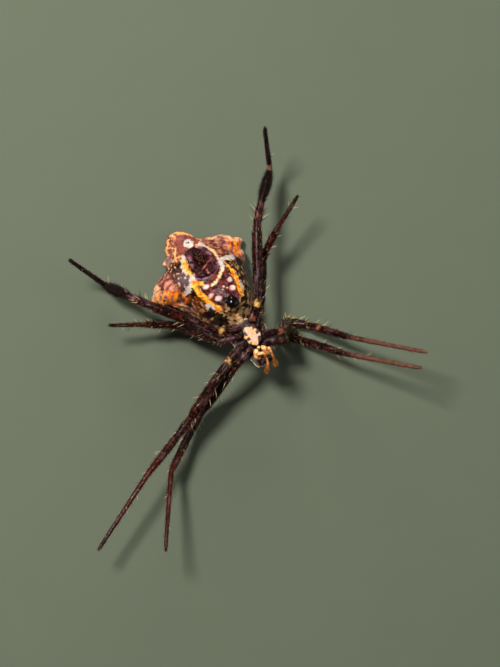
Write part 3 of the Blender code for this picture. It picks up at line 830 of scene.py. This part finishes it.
# skin outline of each article: place along it, half thickness
legOutline = (
    ((0.0, 0.38), (0.3, 0.44), (0.8, 0.43), (0.97, 0.4)),                       # coxa
    ((0.04, 0.41), (0.3, 0.43), (0.8, 0.43), (0.97, 0.4)),                      # trochanter
    ((0.02, 0.4), (0.1, 0.45), (0.35, 0.53), (0.65, 0.57), (0.88, 0.54), (0.985, 0.41)),
    ((0.03, 0.38), (0.2, 0.44), (0.5, 0.46), (0.85, 0.45), (0.97, 0.37)),       # patella
    ((0.015, 0.36), (0.1, 0.42), (0.5, 0.42), (0.88, 0.36), (0.985, 0.29)),     # tibia
    ((0.01, 0.27), (0.06, 0.28), (0.5, 0.25), (0.97, 0.21)),                    # metatarsus
    ((0.03, 0.19), (0.15, 0.21), (0.6, 0.19), (1.0, 0.12)))                     # tarsus
brushTibia = ((0.015, 0.33), (0.15, 0.38), (0.5, 0.46), (0.75, 0.45), (0.985, 0.28))


def legJoints(side, pair):
    coxaWay, femurWay, tibiaWay, footWay = legShape["pose"][(side, pair)]
    sign = 1 if side == "R" else -1
    x, y = legShape["hips"][pair]
    coxa = heading(*coxaWay)
    femur, tibia, metatarsus = heading(*femurWay), heading(*tibiaWay), heading(*footWay)
    ways = (coxa, (coxa + femur).normalized(), femur, (femur * 0.3 + tibia * 0.7).normalized(),
            tibia, metatarsus, (metatarsus + Vector((0, 0, 0.12))).normalized())
    joints = [Vector((sign * x, y, legShape["hipHeight"])) - coxa * 0.35]
    for n, (way, length) in enumerate(zip(ways, legShape["articles"][pair])):
        joints.append(joints[-1] + way * (length + (0.35 if n == 0 else 0)))
    return joints


def legLine(side, pair):
    joints = legJoints(side, pair)
    stout = legShape["stout"][pair]
    points, sizes = [], []
    for n in range(7):
        outline = brushTibia if n == 4 and pair == 4 else legOutline[n]
        for spot, size in outline:
            points.append(joints[n].lerp(joints[n + 1], spot))
            sizes.append(size * stout)
    line = makeLine(points, sizes, 500, 0.22)
    line["ends"] = [0.0]
    for a, b in zip(joints, joints[1:]):
        line["ends"].append(line["ends"][-1] + (b - a).length)
    return line


def articleAt(line, t):
    # which article a place along the leg is in, and how far along that article
    reach = t * line["ends"][-1]
    n = max(i for i in range(7) if line["ends"][i] <= reach or i == 0)
    return n, clamp((reach - line["ends"][n]) / (line["ends"][n + 1] - line["ends"][n]))


legTones = toneTable(dark=(15, 4, 5), brown=(54, 17, 10), red=(66, 18, 10), joint=(92, 40, 24),
                     pale=(222, 172, 96), bloom=(98, 62, 72), flesh=(176, 108, 84),
                     far=(96, 62, 50), shin=(176, 128, 104), rosy=(156, 116, 116), plum=(44, 8, 22),
                     grey=(112, 84, 88))
# pale spots and, in pinkish and purplish tones, painted highlights on the belly side of the legs:
# leg, article, place along it, size, tone
paleSpots = ((("L", 4), 1, 0.4, 0.32, "pale"), (("R", 4), 1, 0.3, 0.32, "pale"),
             (("L", 2), 1, 0.95, 0.34, "pale"), (("R", 2), 1, 0.4, 0.35, "flesh"),
             (("R", 2), 4, 0.28, 0.3, "flesh"), (("L", 4), 3, 0.8, 0.5, "rosy"),
             (("R", 3), 3, 0.1, 0.3, "flesh"), (("R", 4), 0, 0.3, 0.35, "flesh"),
             (("L", 4), 0, 0.1, 0.35, "flesh"), (("L", 1), 0, 0.1, 0.25, "joint"),
             (("L", 1), 0, 0.6, 0.5, "bloom"), (("L", 2), 0, 0.7, 0.5, "bloom"),
             (("L", 3), 0, 0.7, 0.5, "bloom"))
# strength and raggedness of the spots that differ from the rest
spotLook = {"pale": (0.72, 1.9), "rosy": (0.42, 4.0)}


def legGround(tones, side, pair, n, k, rough):
    # the ground colour of one place: which article it is on, and how far along
    colour = paint(tones, "dark", brown=ease(-0.1, 0.5, rough))
    if n == 4 and pair < 3 and side == "L":
        colour = paint(tones, colour, red=0.5 * ease(0.1, 0.9, k))
    if n in (3, 4) and pair == 4:
        colour = paint(tones, colour, **{"plum" if n == 3 else "dark": 0.6})
    if n >= 5 and (side == "L" or pair > 2):
        colour = paint(tones, colour, red=0.55 if pair < 3 else 0.3,
                       dark=ease(0.55, 1.0, k) if n == 5 else 0.8)
    if pair == 4 and n > 4:
        colour = paint(tones, colour, dark=0.85)
    return colour


def legTint(line, side, pair):
    tones, ends = legTones, line["ends"]
    spots = [spot[1:] for spot in paleSpots if spot[0] == (side, pair)]

    def tintOf(t, turn, point):
        n, k = articleAt(line, t)
        reach = t * ends[-1]
        rough = 0.6 * wobble(point, 0.3, 11) + 0.4 * wobble(point, 0.9, 13)
        colour = legGround(tones, side, pair, n, k, rough)
        # painted purplish highlights in blotches near the hips, rusty brown blotches further out
        bloom = ease(0.2, 0.5, wobble(point, 0.3, 17) + 0.3 * wobble(point, 0.1, 19))
        near = 1 - ease(0.15, 0.5, k + n - 2)
        colour = blend(colour, paint(tones, "joint", bloom=near), (0.45 - 0.2 * near) * bloom)
        if pair < 3 and n < 2:
            colour = paint(tones, colour, dark=0.75 * ease(-0.4, 0.1, rough))
        # painted greyish highlight streaks along the limb, strongest near the hips
        along = wobble((1.7 * cos(turn), 1.7 * sin(turn), 0.8 * t * ends[-1] + pair))
        streak = ease(0.22, 0.42, along + 0.25 * rough)
        colour = paint(tones, colour, grey=(0.25 + 0.3 * near) * streak)
        if side == "R" and pair < 3 and n > 4:
            share = 0.9 * ease(-0.1, 0.35, k + n - 5 + 0.5 * rough)
            colour = paint(tones, colour, far=share)
        # soft skin shows a little paler at the joints
        gap = min(abs(reach - end) for end in ends[1:7])
        soft = 0.5 if pair < 4 else 0.15
        colour = paint(tones, colour, joint=soft * (1 - ease(0.04, 0.12, gap)))
        if pair == 4 and side == "R" and n == 5:
            share = 0.85 - 0.85 * ease(0.16, 0.24, k + 0.12 * rough)
            colour = paint(tones, colour, shin=share)
        for article, spot, size, tone in spots:
            gap = reach - ends[article] - spot * (ends[article + 1] - ends[article])
            if abs(gap) < size * 2:
                centre, width = lineAt(line, t)[:2]
                facing = (point - centre).normalized().z
                away = hypot(gap, (1 - facing) * width) / size
                strength, uneven = spotLook.get(tone, (0.42, 2.2))
                share = strength * (1 - ease(0.3, 1.2, away + uneven * rough))
                colour = paint(tones, colour, **{tone: share})
        return colour
    return tintOf


legHair = {"small": 2600, "smallLength": (0.14, 0.4), "spines": 34, "spineLength": (0.5, 1.1),
           "brush": 1300, "hipHairs": 34, "hipLength": (0.3, 0.8),
           "kneeSpines": 16, "kneeLength": (0.5, 0.85)}
hairTones = toneTable(dark=(18, 8, 6), brown=(60, 30, 18), pale=(206, 178, 136),
                      yellow=(190, 160, 70), orange=(178, 88, 24), silver=(204, 200, 190),
                      gold=(176, 116, 40), umber=(112, 62, 20))


def seatOn(line, t, turn):
    # where a hair stands on a limb: root, way out, way along, and its place on the unwrap
    side, up, ahead = lineAt(line, t)[2:]
    out = side * cos(turn) + up * sin(turn)
    return linePoint(line, t, turn) - out * 0.02, out, ahead, (t, (turn / (2 * pi) + 0.5) % 1)


def addOn(coat, seat, lie, stand, bow, length, width, tint):
    # a hair that lies along a limb, stands off it and bows along it by these shares
    root, out, ahead, home = seat
    addHair(coat, root, ahead * lie + out * stand, ahead * bow, length, width, tint, home)


def legCoat(side, pair, line, tintOf, chance):
    coat = newCoat()
    look, ends, total = legHair, line["ends"], line["ends"][-1]
    for n in range(look["small"]):
        t = chance.uniform(0.02, 0.995)
        turn = chance.uniform(-pi, pi)
        onFoot = articleAt(line, t)[0] > 4
        seat = seatOn(line, t, turn)
        length = chance.uniform(*look["smallLength"]) * (0.75 if onFoot else 1.0)
        stand = chance.uniform(0.3, 1.0)
        tone = "pale" if chance.random() < 0.08 else ("brown" if chance.random() < 0.4 else "dark")
        if pair == 4 and articleAt(line, t)[0] > 3:
            tone = "dark"
        tint = paint(hairTones, tintOf(t, turn, seat[0]), **{tone: 0.6})
        addOn(coat, seat, 1.0, stand, 0.25, length, 0.013 if onFoot else 0.016, tint)
    # long spines stand off the femur, patella, tibia and foot in loose whorls
    for n in range(look["spines"]):
        article = chance.choice((2, 3, 4, 4, 4, 5, 5) if pair < 4 else (2, 2, 3, 3, 3, 4, 5))
        k = chance.uniform(0.12, 0.96)
        t = (ends[article] + (ends[article + 1] - ends[article]) * k) / total
        seat = seatOn(line, t, chance.uniform(-pi, pi))
        tone = "pale" if chance.random() < 0.55 else "dark"
        length = chance.uniform(*look["spineLength"]) * (0.75 if article == 5 else 1.0)
        addOn(coat, seat, 0.8, 1.0, 0.12, length, 0.03, hairTones[tone])
    if pair == 4:
        # the brush that thickens the tibia of the hind legs, longest at its middle
        for n in range(look["brush"]):
            k = chance.betavariate(2.4, 2.0)
            t = (ends[4] + (ends[5] - ends[4]) * k) / total
            seat = seatOn(line, t, chance.uniform(-pi, pi))
            fine = chance.random() < 0.22
            reach = chance.uniform(0.16, 0.2 + 0.75 * k * (1 - k)) + (0.35 if fine else 0.0)
            addOn(coat, seat, chance.uniform(0.5, 1.3), 1.0, 0.3, reach, 0.01 if fine else 0.018,
                  hairTones["dark"])
    # longer hairs stand round the hips
    for n in range(look["hipHairs"]):
        t = chance.uniform(0.02, 1.0) * ends[3] * 0.45 / total
        seat = seatOn(line, t, chance.uniform(-pi, pi))
        addOn(coat, seat, chance.uniform(-0.2, 0.8), 1.0, 0.5, chance.uniform(*look["hipLength"]),
              0.014, hairTones[chance.choice(("pale", "brown", "brown", "dark"))])
    if side == "R" and pair in (1, 2):
        # stout yellow spines crowd the knees that the right front legs rest on
        for n in range(look["kneeSpines"]):
            k = n / (look["kneeSpines"] - 1)
            t = (ends[2] + (ends[4] - ends[2]) * (0.55 + 0.5 * k)) / total
            seat = seatOn(line, t, chance.gauss(pi / 2, 0.9))
            addOn(coat, seat, 0.5, 1.0, 0.1, chance.uniform(*look["kneeLength"]), 0.045,
                  hairTones["yellow"])
    return coat


clawShape = {"length": 0.14, "width": 0.022, "spread": 0.04}


def addClaws(claws, line):
    tip = lineAt(line, 1.0)[0]
    sideways, up, ahead = lineAt(line, 1.0)[2:]
    length, width = clawShape["length"], clawShape["width"]
    for sign in (-1, 1):
        foot = tip - ahead * 0.06 + sideways * sign * clawShape["spread"]
        hook = makeLine([foot, foot + ahead * length * 0.6 + up * 0.02,
                         foot + ahead * length * 0.8 - up * 0.12],
                        [width, width * 0.8, 0.006], 12)
        addRound(claws, 6, 8, lambda t, turn: linePoint(hook, t, turn), blackTint)


def makeLegs():
    chance = random.Random(41)
    claws = bmesh.new()
    for side, pair in legShape["pose"]:
        line = legLine(side, pair)
        tintOf = legTint(line, side, pair)
        bm = bmesh.new()
        addRound(bm, legShape["around"], legShape["along"],
                 lambda t, turn: linePoint(line, t, turn), tintOf)
        title = "leg_" + ("right_" if side == "R" else "left_") + str(pair)
        finishPiece(bm, title + "_skin", legSkin, "legs",
                    *(title + "_" + part for part in ("femur", "tibia", "foot")))
        growCoat(title + "_coat", legCoat(side, pair, line, tintOf, chance))
        addClaws(claws, line)
    finishPiece(claws, "claws", jawSkin, "jaws")


# carapace: place along, half width and back of its sections, as in the solids
carapaceShape = {
    "sections": ((-3.4, 0.62, -2.25), (-3.28, 0.92, -2.7), (-2.7, 1.12, -3.1), (-1.8, 1.32, -3.2),
                 (-0.9, 1.85, -3.02), (0.1, 2.15, -2.9), (0.9, 1.98, -2.6), (1.5, 1.35, -2.2),
                 (1.85, 0.7, -1.9)),
    "shelf": -1.46, "rim": 0.12, "inset": 0.05, "capShare": 0.05, "around": 96, "along": 130,
    "hairs": 5200}
furrows = (((0.0, 0.15), (0.35, -0.7), (0.8, -1.35), (1.15, -1.7)), ((0.15, 0.2), (1.0, -0.55)),
           ((0.2, 0.3), (1.35, 0.2)), ((0.2, 0.45), (1.25, 0.9)), ((0.1, 0.55), (0.7, 1.35)))


def carapacePoint(spot, angle, grow=0.0):
    shape = carapaceShape
    half = curveValue(shape["sections"], spot, 1) + grow
    back = curveValue(shape["sections"], spot, 2) - grow
    turn = radians(angle)
    if sin(turn) >= 0:
        return Vector((half * cos(turn), spot,
                       shape["shelf"] + grow + shape["rim"] * sin(turn) * min(1.0, half)))
    return Vector((half * cos(turn), spot, shape["shelf"] + (shape["shelf"] - back) * sin(turn)))


def carapaceLay(t, turn):
    shape = carapaceShape
    first, last, cap = shape["sections"][0][0], shape["sections"][-1][0], shape["capShare"]
    angle = turn * 180 / pi
    inside = -shape["inset"]
    if t < cap or t > 1 - cap:
        end, k = (first, t / cap) if t < cap else (last, (1 - t) / cap)
        rim = carapacePoint(end, angle, inside)
        middle = (carapacePoint(end, 90, inside) + carapacePoint(end, -90, inside)) / 2
        return middle + (rim - middle) * sin(k * pi / 2)
    spot = first + (last - first) * (0.5 - 0.5 * cos(pi * (t - cap) / (1 - 2 * cap)))
    point = carapacePoint(spot, angle, inside)
    if sin(turn) < 0:
        depth = sum(0.07 * exp(-(nearPath(abs(point.x), point.y, path) / 0.1) ** 2)
                    for path in furrows)
        pit = 0.2 * exp(-(hypot(point.x / 0.12, (point.y - 0.35) / 0.3)) ** 2)
        point.z += (depth + pit) * ease(0.0, 0.5, -sin(turn))
    return point


frontTones = toneTable(dark=(18, 8, 8), brown=(62, 28, 18), cream=(196, 146, 88),
                       milk=(190, 158, 132), rim=(228, 180, 120), orange=(196, 98, 30),
                       tan=(176, 112, 56), palp=(118, 64, 22), tip=(80, 50, 9), black=(8, 5, 6),
                       rosy=(190, 130, 104), shoulder=(92, 44, 26))


def carapaceTint(t, turn, point):
    rough = wobble(point, 0.4, 21)
    edge = ease(0.25, 0.0, abs(sin(turn)))
    return paint(frontTones, "dark", brown=ease(-0.2, 0.5, rough), shoulder=0.5 * edge)


# the breastplate: radius share and height of its rings, and its pale raised star
plateShape = {
    "half": (0.97, 1.29), "middle": 0.05, "around": 112, "along": 150,
    "profile": ((0.0, 0.0, -1.25), (0.1, 0.84, -1.25), (0.2, 0.85, -0.6), (0.32, 0.92, -0.24),
                (0.4, 0.98, -0.14), (0.46, 0.95, -0.06), (0.54, 0.84, -0.03), (1.0, 0.0, -0.02)),
    "starHeight": 0.075,
    "spine": ((-0.2, 0.72), (0.0, 0.3), (0.02, -0.4), (-0.16, -0.9)), "spineHalf": 0.4,
    "knobs": ((-0.34, 0.95), (-0.8, 0.1), (-0.84, -0.55), (-0.28, -1.04), (0.24, 0.72),
              (0.52, 0.36), (0.76, -0.3)),
    "stalk": 0.12, "knob": 0.18}


def starShare(x, y):
    shape = plateShape
    away = nearPath(x, y, shape["spine"]) - shape["spineHalf"] * (1.15 - 0.25 * abs(y))
    for knobX, knobY in shape["knobs"]:
        stalk = nearPath(x, y, ((0.0, knobY * 0.82), (knobX, knobY))) - shape["stalk"]
        away = min(away, stalk, hypot(x - knobX, y - knobY) - shape["knob"])
    return 1 - ease(-0.035, 0.035, away + 0.03 * wobble((x, y, 0), 0.12))


def plateLay(t, turn):
    shape = plateShape
    share = curveValue(shape["profile"], 1 - t, 1)
    height = curveValue(shape["profile"], 1 - t, 2)
    lobe = 1 + 0.05 * cos(8 * turn)
    x = shape["half"][0] * share * lobe * cos(turn)
    y = shape["middle"] + shape["half"][1] * share * lobe * sin(turn)
    if height > -0.2:
        height += shape["starHeight"] * starShare(x, y) + 0.012 * wobble((x, y, 0), 0.1)
    return Vector((x, y, height))


def plateTint(t, turn, point):
    tones = frontTones
    rough = wobble(point, 0.22, 31)
    ground = paint(tones, "brown", dark=ease(-0.3, 0.2, rough))
    star = starShare(point.x, point.y) * ease(-0.3, -0.15, point.z)
    inner = 0.3 - 0.3 * ease(0.3, 0.6, abs(point.x))
    pale = paint(tones, "cream", tan=0.4 * ease(0.1, 0.5, rough),
                 milk=ease(0.0, 0.3, wobble(point, 0.5, 43) + inner))
    return blend(ground, pale, star)


def addEgg(bm, centre, halves, lean, tintOf, around=28, along=24, relief=0.0):
    turned = Matrix.Rotation(radians(lean), 3, "Z")

    def lay(t, turn):
        way = pi * t
        rough = 1 + relief * wobble((3 * cos(turn), 3 * sin(turn), 5 * t), 0.8, centre[0])
        return Vector(centre) + turned @ Vector((halves[0] * sin(way) * cos(turn) * rough,
                                                 -halves[1] * cos(way),
                                                 halves[2] * sin(way) * sin(turn) * rough))

    addRound(bm, around, along, lay, tintOf)


def mouthTint(t, turn, point):
    rough = wobble(point, 0.25, 41)
    inner = ease(0.52, 0.38, abs(point.x)) * ease(-1.8, -2.1, point.y)
    return paint(frontTones, "rim", orange=ease(0.05, 0.4, rough), tan=0.8 * inner,
                 brown=0.8 * ease(-0.35, -0.7, point.z))


def addLine(bm, points, sizes, tintOf, around=20, along=60, soften=0.1, swell=None):
    line = makeLine(points, sizes, 120, soften)
    addRound(bm, around, along,
             lambda t, turn: linePoint(line, t, turn, swell(t, turn) if swell else 1.0), tintOf)
    return line


# palps: joints and half thicknesses from the maxilla to the tip
palpRoutes = {"left": ((-0.62, -2.12, 0.07), (-0.6, -2.12, 0.75), (-0.11, -2.32, 1.25),
                       (-0.22, -3.5, 1.15), (-0.88, -4.3, 0.8)),
              "right": ((0.62, -2.12, 0.07), (0.72, -2.1, 0.75), (0.66, -2.35, 1.25),
                        (0.58, -3.2, 1.27), (0.52, -4.12, 0.8))}
palpSizes = ((0.0, 0.2), (0.5, 0.22), (0.95, 0.19), (1.05, 0.18), (1.5, 0.19), (1.95, 0.15),
             (2.1, 0.14), (2.5, 0.15), (2.92, 0.12), (3.08, 0.14), (3.45, 0.19), (3.8, 0.17),
             (4.0, 0.08))
palpHairs = 900


def palpTint(t, turn, point):
    # cream at the base, then tan with browner joints, orange brown at the tip
    tones = frontTones
    rough = wobble(point, 0.3, 51)
    reach = 4 * t
    joint = min(abs(reach - spot) for spot in (1.0, 2.0, 3.0))
    # a painted pinkish highlight on the third segment
    bright = ease(0.3, 0.05, abs(reach - 2.7)) * ease(-0.2, 0.1, rough)
    base = paint(tones, "rim", orange=ease(0.1, 0.4, wobble(point, 0.35, 57)))
    colour = paint(tones, "palp", tan=ease(-0.15, 0.25, rough),
                   brown=0.6 - 0.6 * ease(0.05, 0.25, joint + 0.3 * rough), rosy=0.6 * bright)
    colour = blend(colour, base, ease(0.44, 0.3, t + 0.12 * rough))
    return paint(tones, colour, tip=0.8 * ease(0.74, 0.95, t + 0.2 * rough))


def palpCoat(line, chance):
    coat = newCoat()
    for n in range(palpHairs):
        t = 1 - chance.random() ** 1.8 * 0.9
        seat = seatOn(line, t, chance.uniform(-pi, pi))
        tip = ease(0.6, 0.9, t)
        tone = chance.choice(("orange", "umber", "umber", "brown") if t > 0.45
                             else ("pale", "orange"))
        # locks of one tone, with a few long hairs standing off the tip
        lock = wobble(seat[0], 0.28, 63)
        tint = paint(hairTones, tone,
                     **{"gold" if lock > 0 else "brown": min(0.7, 2 * abs(lock))})
        far = chance.random() < 0.12
        stand = 0.4 + 1.5 * tip * chance.random()
        length = chance.uniform(0.07, 0.13)
        length += (0.3 if far else 0.14 + 0.3 * lock) * tip * chance.random()
        addOn(coat, seat, 1.0, stand, 0.2, length, 0.009 if far else 0.011, tint)
    return coat


def makePalps(chance):
    for word, route in palpRoutes.items():
        bm = bmesh.new()
        joints = [Vector(joint) for joint in route]
        points = []
        for spot, size in palpSizes:
            n = min(int(spot), 3)
            points.append(joints[n].lerp(joints[n + 1], spot - n))
        line = addLine(bm, points, [size for spot, size in palpSizes], palpTint, 20, 110, 0.12)
        finishPiece(bm, "palp_" + word + "_skin", legSkin, "palps", "palp_" + word)
        growCoat("palp_" + word + "_coat", palpCoat(line, chance))


# jaws and fangs: middle line and half thickness of the left one, and the hairs of a jaw
jawShape = {
    "jaw": ((0.46, -2.86, -1.25), (0.49, -2.98, -0.85), (0.5, -3.12, -0.2), (0.48, -3.2, 0.18),
            (0.44, -3.22, 0.34)),
    "jawSizes": (0.34, 0.42, 0.41, 0.34, 0.2),
    "fang": ((0.45, -3.22, 0.43), (0.36, -3.14, 0.56), (0.2, -2.98, 0.55), (0.07, -2.86, 0.44)),
    "fangSizes": (0.13, 0.11, 0.075, 0.02), "hairs": 420, "hairLength": (0.1, 0.26)}


def jawTint(t, turn, point):
    return paint(frontTones, "black", brown=0.3 * ease(-0.2, 0.6, wobble(point, 0.3)))


def makeJaws(chance):
    for word, sign in (("left", -1), ("right", 1)):
        jaw, fang = ([(sign * x, y, z) for x, y, z in jawShape[part]] for part in ("jaw", "fang"))
        bm = bmesh.new()
        line = addLine(bm, jaw, jawShape["jawSizes"], jawTint, 32, 60)
        finishPiece(bm, "chelicera_" + word + "_skin", jawSkin, "jaws", "chelicera_" + word)
        bm = bmesh.new()
        addLine(bm, fang, jawShape["fangSizes"], jawTint, 16, 40, 0.08)
        finishPiece(bm, "fang_" + word + "_skin", jawSkin, "jaws", "fang_" + word)
        coat = newCoat()
        for n in range(jawShape["hairs"]):
            t = chance.uniform(0.25, 0.97)
            seat = seatOn(line, t, chance.uniform(-pi, pi))
            addOn(coat, seat, 1.0, 0.6, 0.2, chance.uniform(*jawShape["hairLength"]), 0.01,
                  hairTones["brown" if chance.random() < 0.6 else "pale"])
        growCoat("chelicera_" + word + "_coat", coat)


# mouth edges: middle and halves of the labium and of the right maxilla, and the fringe
mouthShape = {"labium": ((0, -1.53, -0.35), (0.19, 0.19, 0.33)),
              "maxilla": ((0.57, -2.03, -0.42), (0.31, 0.59, 0.49)), "lean": 24, "relief": 0.1,
              "hairs": 360, "hairLength": (0.12, 0.32)}


def makeMouth(chance):
    bm = bmesh.new()
    addEgg(bm, *mouthShape["labium"], 0, mouthTint)
    finishPiece(bm, "labiumSkin", plateSkin, "mouth_edges", "labium")
    coat = newCoat()
    (x, y, z), halves = mouthShape["maxilla"]
    for word, sign in (("left", -1), ("right", 1)):
        bm = bmesh.new()
        addEgg(bm, (sign * x, y, z), halves, sign * mouthShape["lean"], mouthTint,
               relief=mouthShape["relief"])
        finishPiece(bm, "maxilla_" + word + "_skin", plateSkin, "mouth_edges", "maxilla_" + word)
        for n in range(mouthShape["hairs"]):
            # a fringe of orange hairs along the inner and front edges
            turn = chance.gauss(-pi / 2 - sign * 0.5, 0.7)
            out = Vector((cos(turn), sin(turn), chance.uniform(0.1, 0.9)))
            root = Vector((sign * x + 0.24 * cos(turn), y + 0.42 * sin(turn),
                           z + 0.35 * chance.random()))
            addHair(coat, root, out, Vector((0, -0.1, 0.1)),
                    chance.uniform(*mouthShape["hairLength"]), 0.01,
                    hairTones["orange" if chance.random() < 0.6 else "pale"],
                    ((turn / (2 * pi)) % 1, chance.random()))
    growCoat("mouthCoat", coat)


# eyes: name, distance from the middle, place along, radius
eyePlaces = (("front_middle", 0.17, -3.24, 0.12), ("rear_middle", 0.19, -2.74, 0.13),
             ("front_side", 0.66, -3.12, 0.09), ("rear_side", 0.72, -2.82, 0.11))


def eyeSeat(away, along, radius, sign):
    # middle and outward direction of an eye set in the carapace
    half = curveValue(carapaceShape["sections"], along, 1)
    angle = -acos(clamp(sign * away / half, -1, 1)) * 180 / pi
    a = carapacePoint(along + 0.05, angle) - carapacePoint(along - 0.05, angle)
    b = carapacePoint(along, angle + 2) - carapacePoint(along, angle - 2)
    out = a.cross(b).normalized()
    out = out if out.z < 0 else -out
    return carapacePoint(along, angle) - out * radius * 0.15, out


def makeEyes():
    bm = bmesh.new()
    rings = bmesh.new()
    nodes = []
    for title, away, along, radius in eyePlaces:
        for word, sign in (("left", -1), ("right", 1)):
            nodes.append("eye_" + title + "_" + word)
            centre, out = eyeSeat(away, along, radius, sign)
            addRound(bm, 24, 16, lambda t, turn: centre + radius * Vector(
                (sin(pi * t) * cos(turn), sin(pi * t) * sin(turn), cos(pi * t))),
                lambda t, turn, p: frontTones["black"])
            across = out.orthogonal().normalized()
            up = out.cross(across)

            def ringLay(t, turn):
                # a low collar round each eye
                flare = radius * (0.55 + 0.75 * sin(pi * t))
                return (centre + (across * cos(turn) + up * sin(turn)) * flare
                        + out * (0.35 - 0.9 * t) * radius)

            addRound(rings, 20, 10, ringLay, lambda t, turn, p: frontTones["brown"])
    finishPiece(bm, "eyesSkin", eyeSkin, "eyes", *nodes)
    finishPiece(rings, "eyeCollars", plateSkin, "carapace")


def carapaceCoat(chance):
    # silver hair lies backward over the back of the carapace, browner on its belly side
    coat = newCoat()
    for n in range(carapaceShape["hairs"]):
        t = chance.uniform(0.03, 0.97)
        turn = -chance.uniform(-0.25, pi + 0.25)
        point, along, out = skinFrame(carapaceLay, t, turn, 0.01)
        if out.dot(Vector((cos(turn), 0, sin(turn)))) < 0:
            out = -out
        lie = along * (1 if point.y > -2.6 else -1)
        tone = "silver" if sin(turn) <= 0 and chance.random() < 0.8 else "pale"
        addHair(coat, point - out * 0.02, lie + out * chance.uniform(0.15, 0.5), -out * 0.1,
                chance.uniform(0.14, 0.34), 0.014, hairTones[tone], (t, (turn / (2 * pi)) % 1))
    return coat


def makeFront():
    chance = random.Random(77)
    bm = bmesh.new()
    addRound(bm, carapaceShape["around"], carapaceShape["along"], carapaceLay, carapaceTint)
    finishPiece(bm, "carapaceSkin", plateSkin, "carapace", "carapace")
    bm = bmesh.new()
    addRound(bm, plateShape["around"], plateShape["along"], plateLay, plateTint)
    finishPiece(bm, "breastplateSkin", plateSkin, "breastplate", "breastplate")
    growCoat("carapaceCoat", carapaceCoat(chance))
    makeMouth(chance)
    makeJaws(chance)
    makePalps(chance)
    makeEyes()


# spinnerets: name, offset from the mound's middle, lean outward, length, half thickness
spinneretShape = {
    "middle": (-0.58, 10.0), "cones": (("front", 0.27, -0.32, 0.72, 0.37),
                                       ("middle", 0.12, 0.03, 0.45, 0.15),
                                       ("rear", 0.26, 0.32, 0.62, 0.29)),
    "tubercle": (0.0, 0.76, 0.42, 0.3), "hairs": 260, "hairLength": (0.08, 0.18)}


def bellyHeight(x, y):
    # belly face above a place
    half = curveValue(abdomenShape["sections"], y, 1)
    middle = abdomenShape["drift"] * max(y - 2.0, 0) ** 2
    angle = acos(clamp((x - middle) / half, -0.98, 0.98)) * 180 / pi
    return abdomenPoint(y, angle, -abdomenShape["inset"]).z + bellyRelief(x, y)


def spinneretTint(t, turn, point):
    rough = wobble(point, 0.2, 61)
    return paint(skinTones, "mound", black=ease(-0.2, 0.3, rough),
                 rust=0.25 * ease(0.2, 0.05, t))


def makeSpinnerets():
    bm = bmesh.new()
    midX, midY = spinneretShape["middle"]
    floorZ = bellyHeight(midX, midY)
    cones = [(sign * away, along, length, size)
             for title, away, along, length, size in spinneretShape["cones"] for sign in (-1, 1)]
    chance = random.Random(57)
    coat = newCoat()
    for dx, dy, length, size in cones + [spinneretShape["tubercle"]]:
        foot = Vector((midX + dx * 1.25, midY + dy * 1.2, floorZ - 0.15))
        tip = Vector((midX + dx * 0.85, midY + dy * 0.85, floorZ + length))
        line = addLine(bm, (tip, tip.lerp(foot, 0.14), tip.lerp(foot, 0.42), foot),
                       (size * 0.3, size * 0.66, size * 0.92, size * 1.15), spinneretTint, 24, 40,
                       0.05, lambda t, turn: 1 + 0.05 * sin(26 * t))
        for n in range(spinneretShape["hairs"] // len(cones)):
            t = 0.05 + 0.7 * chance.random() ** 1.5
            seat = seatOn(line, t, chance.uniform(-pi, pi))
            addOn(coat, seat, -1.0, 0.7, -0.2, chance.uniform(*spinneretShape["hairLength"]),
                  0.009, hairTones["brown" if chance.random() < 0.7 else "pale"])
    finishPiece(bm, "spinneretsSkin", abdomenSkin, "abdomen", "spinnerets")
    growCoat("spinneretsCoat", coat)


# the glossy black knob of the epigynum with its short tongue: offsets and half thicknesses
knobShape = {"spot": (-0.1, 4.2), "halves": (0.66, 0.66, 0.46), "lift": 0.12, "relief": 0.08,
             "tongue": ((0.1, 0.48), (0.5, 0.52), (0.84, 0.36)), "tongueSizes": (0.2, 0.17, 0.1)}


def makeEpigynum():
    bm = bmesh.new()
    x, y = knobShape["spot"]
    z = bellyHeight(x, y)
    addEgg(bm, (x, y, z + knobShape["lift"]), knobShape["halves"], 0, blackTint, 40, 32,
           knobShape["relief"])
    tongue = [(x, y + dy, z + dz) for dy, dz in knobShape["tongue"]]
    addLine(bm, tongue, knobShape["tongueSizes"], blackTint, 20, 30)
    finishPiece(bm, "epigynumSkin", jawSkin, "jaws", "epigynum")


# each hair takes the tint of the skin under it, with a share of its own tone
abdomenHair = {"count": 6000, "length": (0.07, 0.17), "width": 0.008, "own": 0.35,
               "heart": -4.8}


def growAbdomen():
    chance = random.Random(93)
    coat = newCoat()
    for n in range(abdomenHair["count"]):
        t = chance.uniform(0.03, 0.98)
        turn = chance.uniform(-pi, pi)
        point, along, out = skinFrame(abdomenLay, t, turn, 0.006)
        if out.dot(point - Vector((0, point.y, abdomenHair["heart"]))) < 0:
            out = -out
        onBelly = sin(turn) > 0.2
        tones = ("pale", "brown", "dark", "dark") if onBelly else ("silver", "pale", "brown")
        tint = paint(hairTones, abdomenTint(t, turn, point),
                     **{chance.choice(tones): abdomenHair["own"]})
        addHair(coat, point - out * 0.015, along + out * chance.uniform(0.2, 0.7), -out * 0.15,
                chance.uniform(*abdomenHair["length"]), abdomenHair["width"], tint,
                (t, turn / (2 * pi) + 0.5))
    growCoat("abdomenCoat", coat)


makeAbdomen()
growAbdomen()
makeSpinnerets()
makeEpigynum()
print("abdomen made")
makeLegs()
print("legs made")
makeFront()
print("front body made")
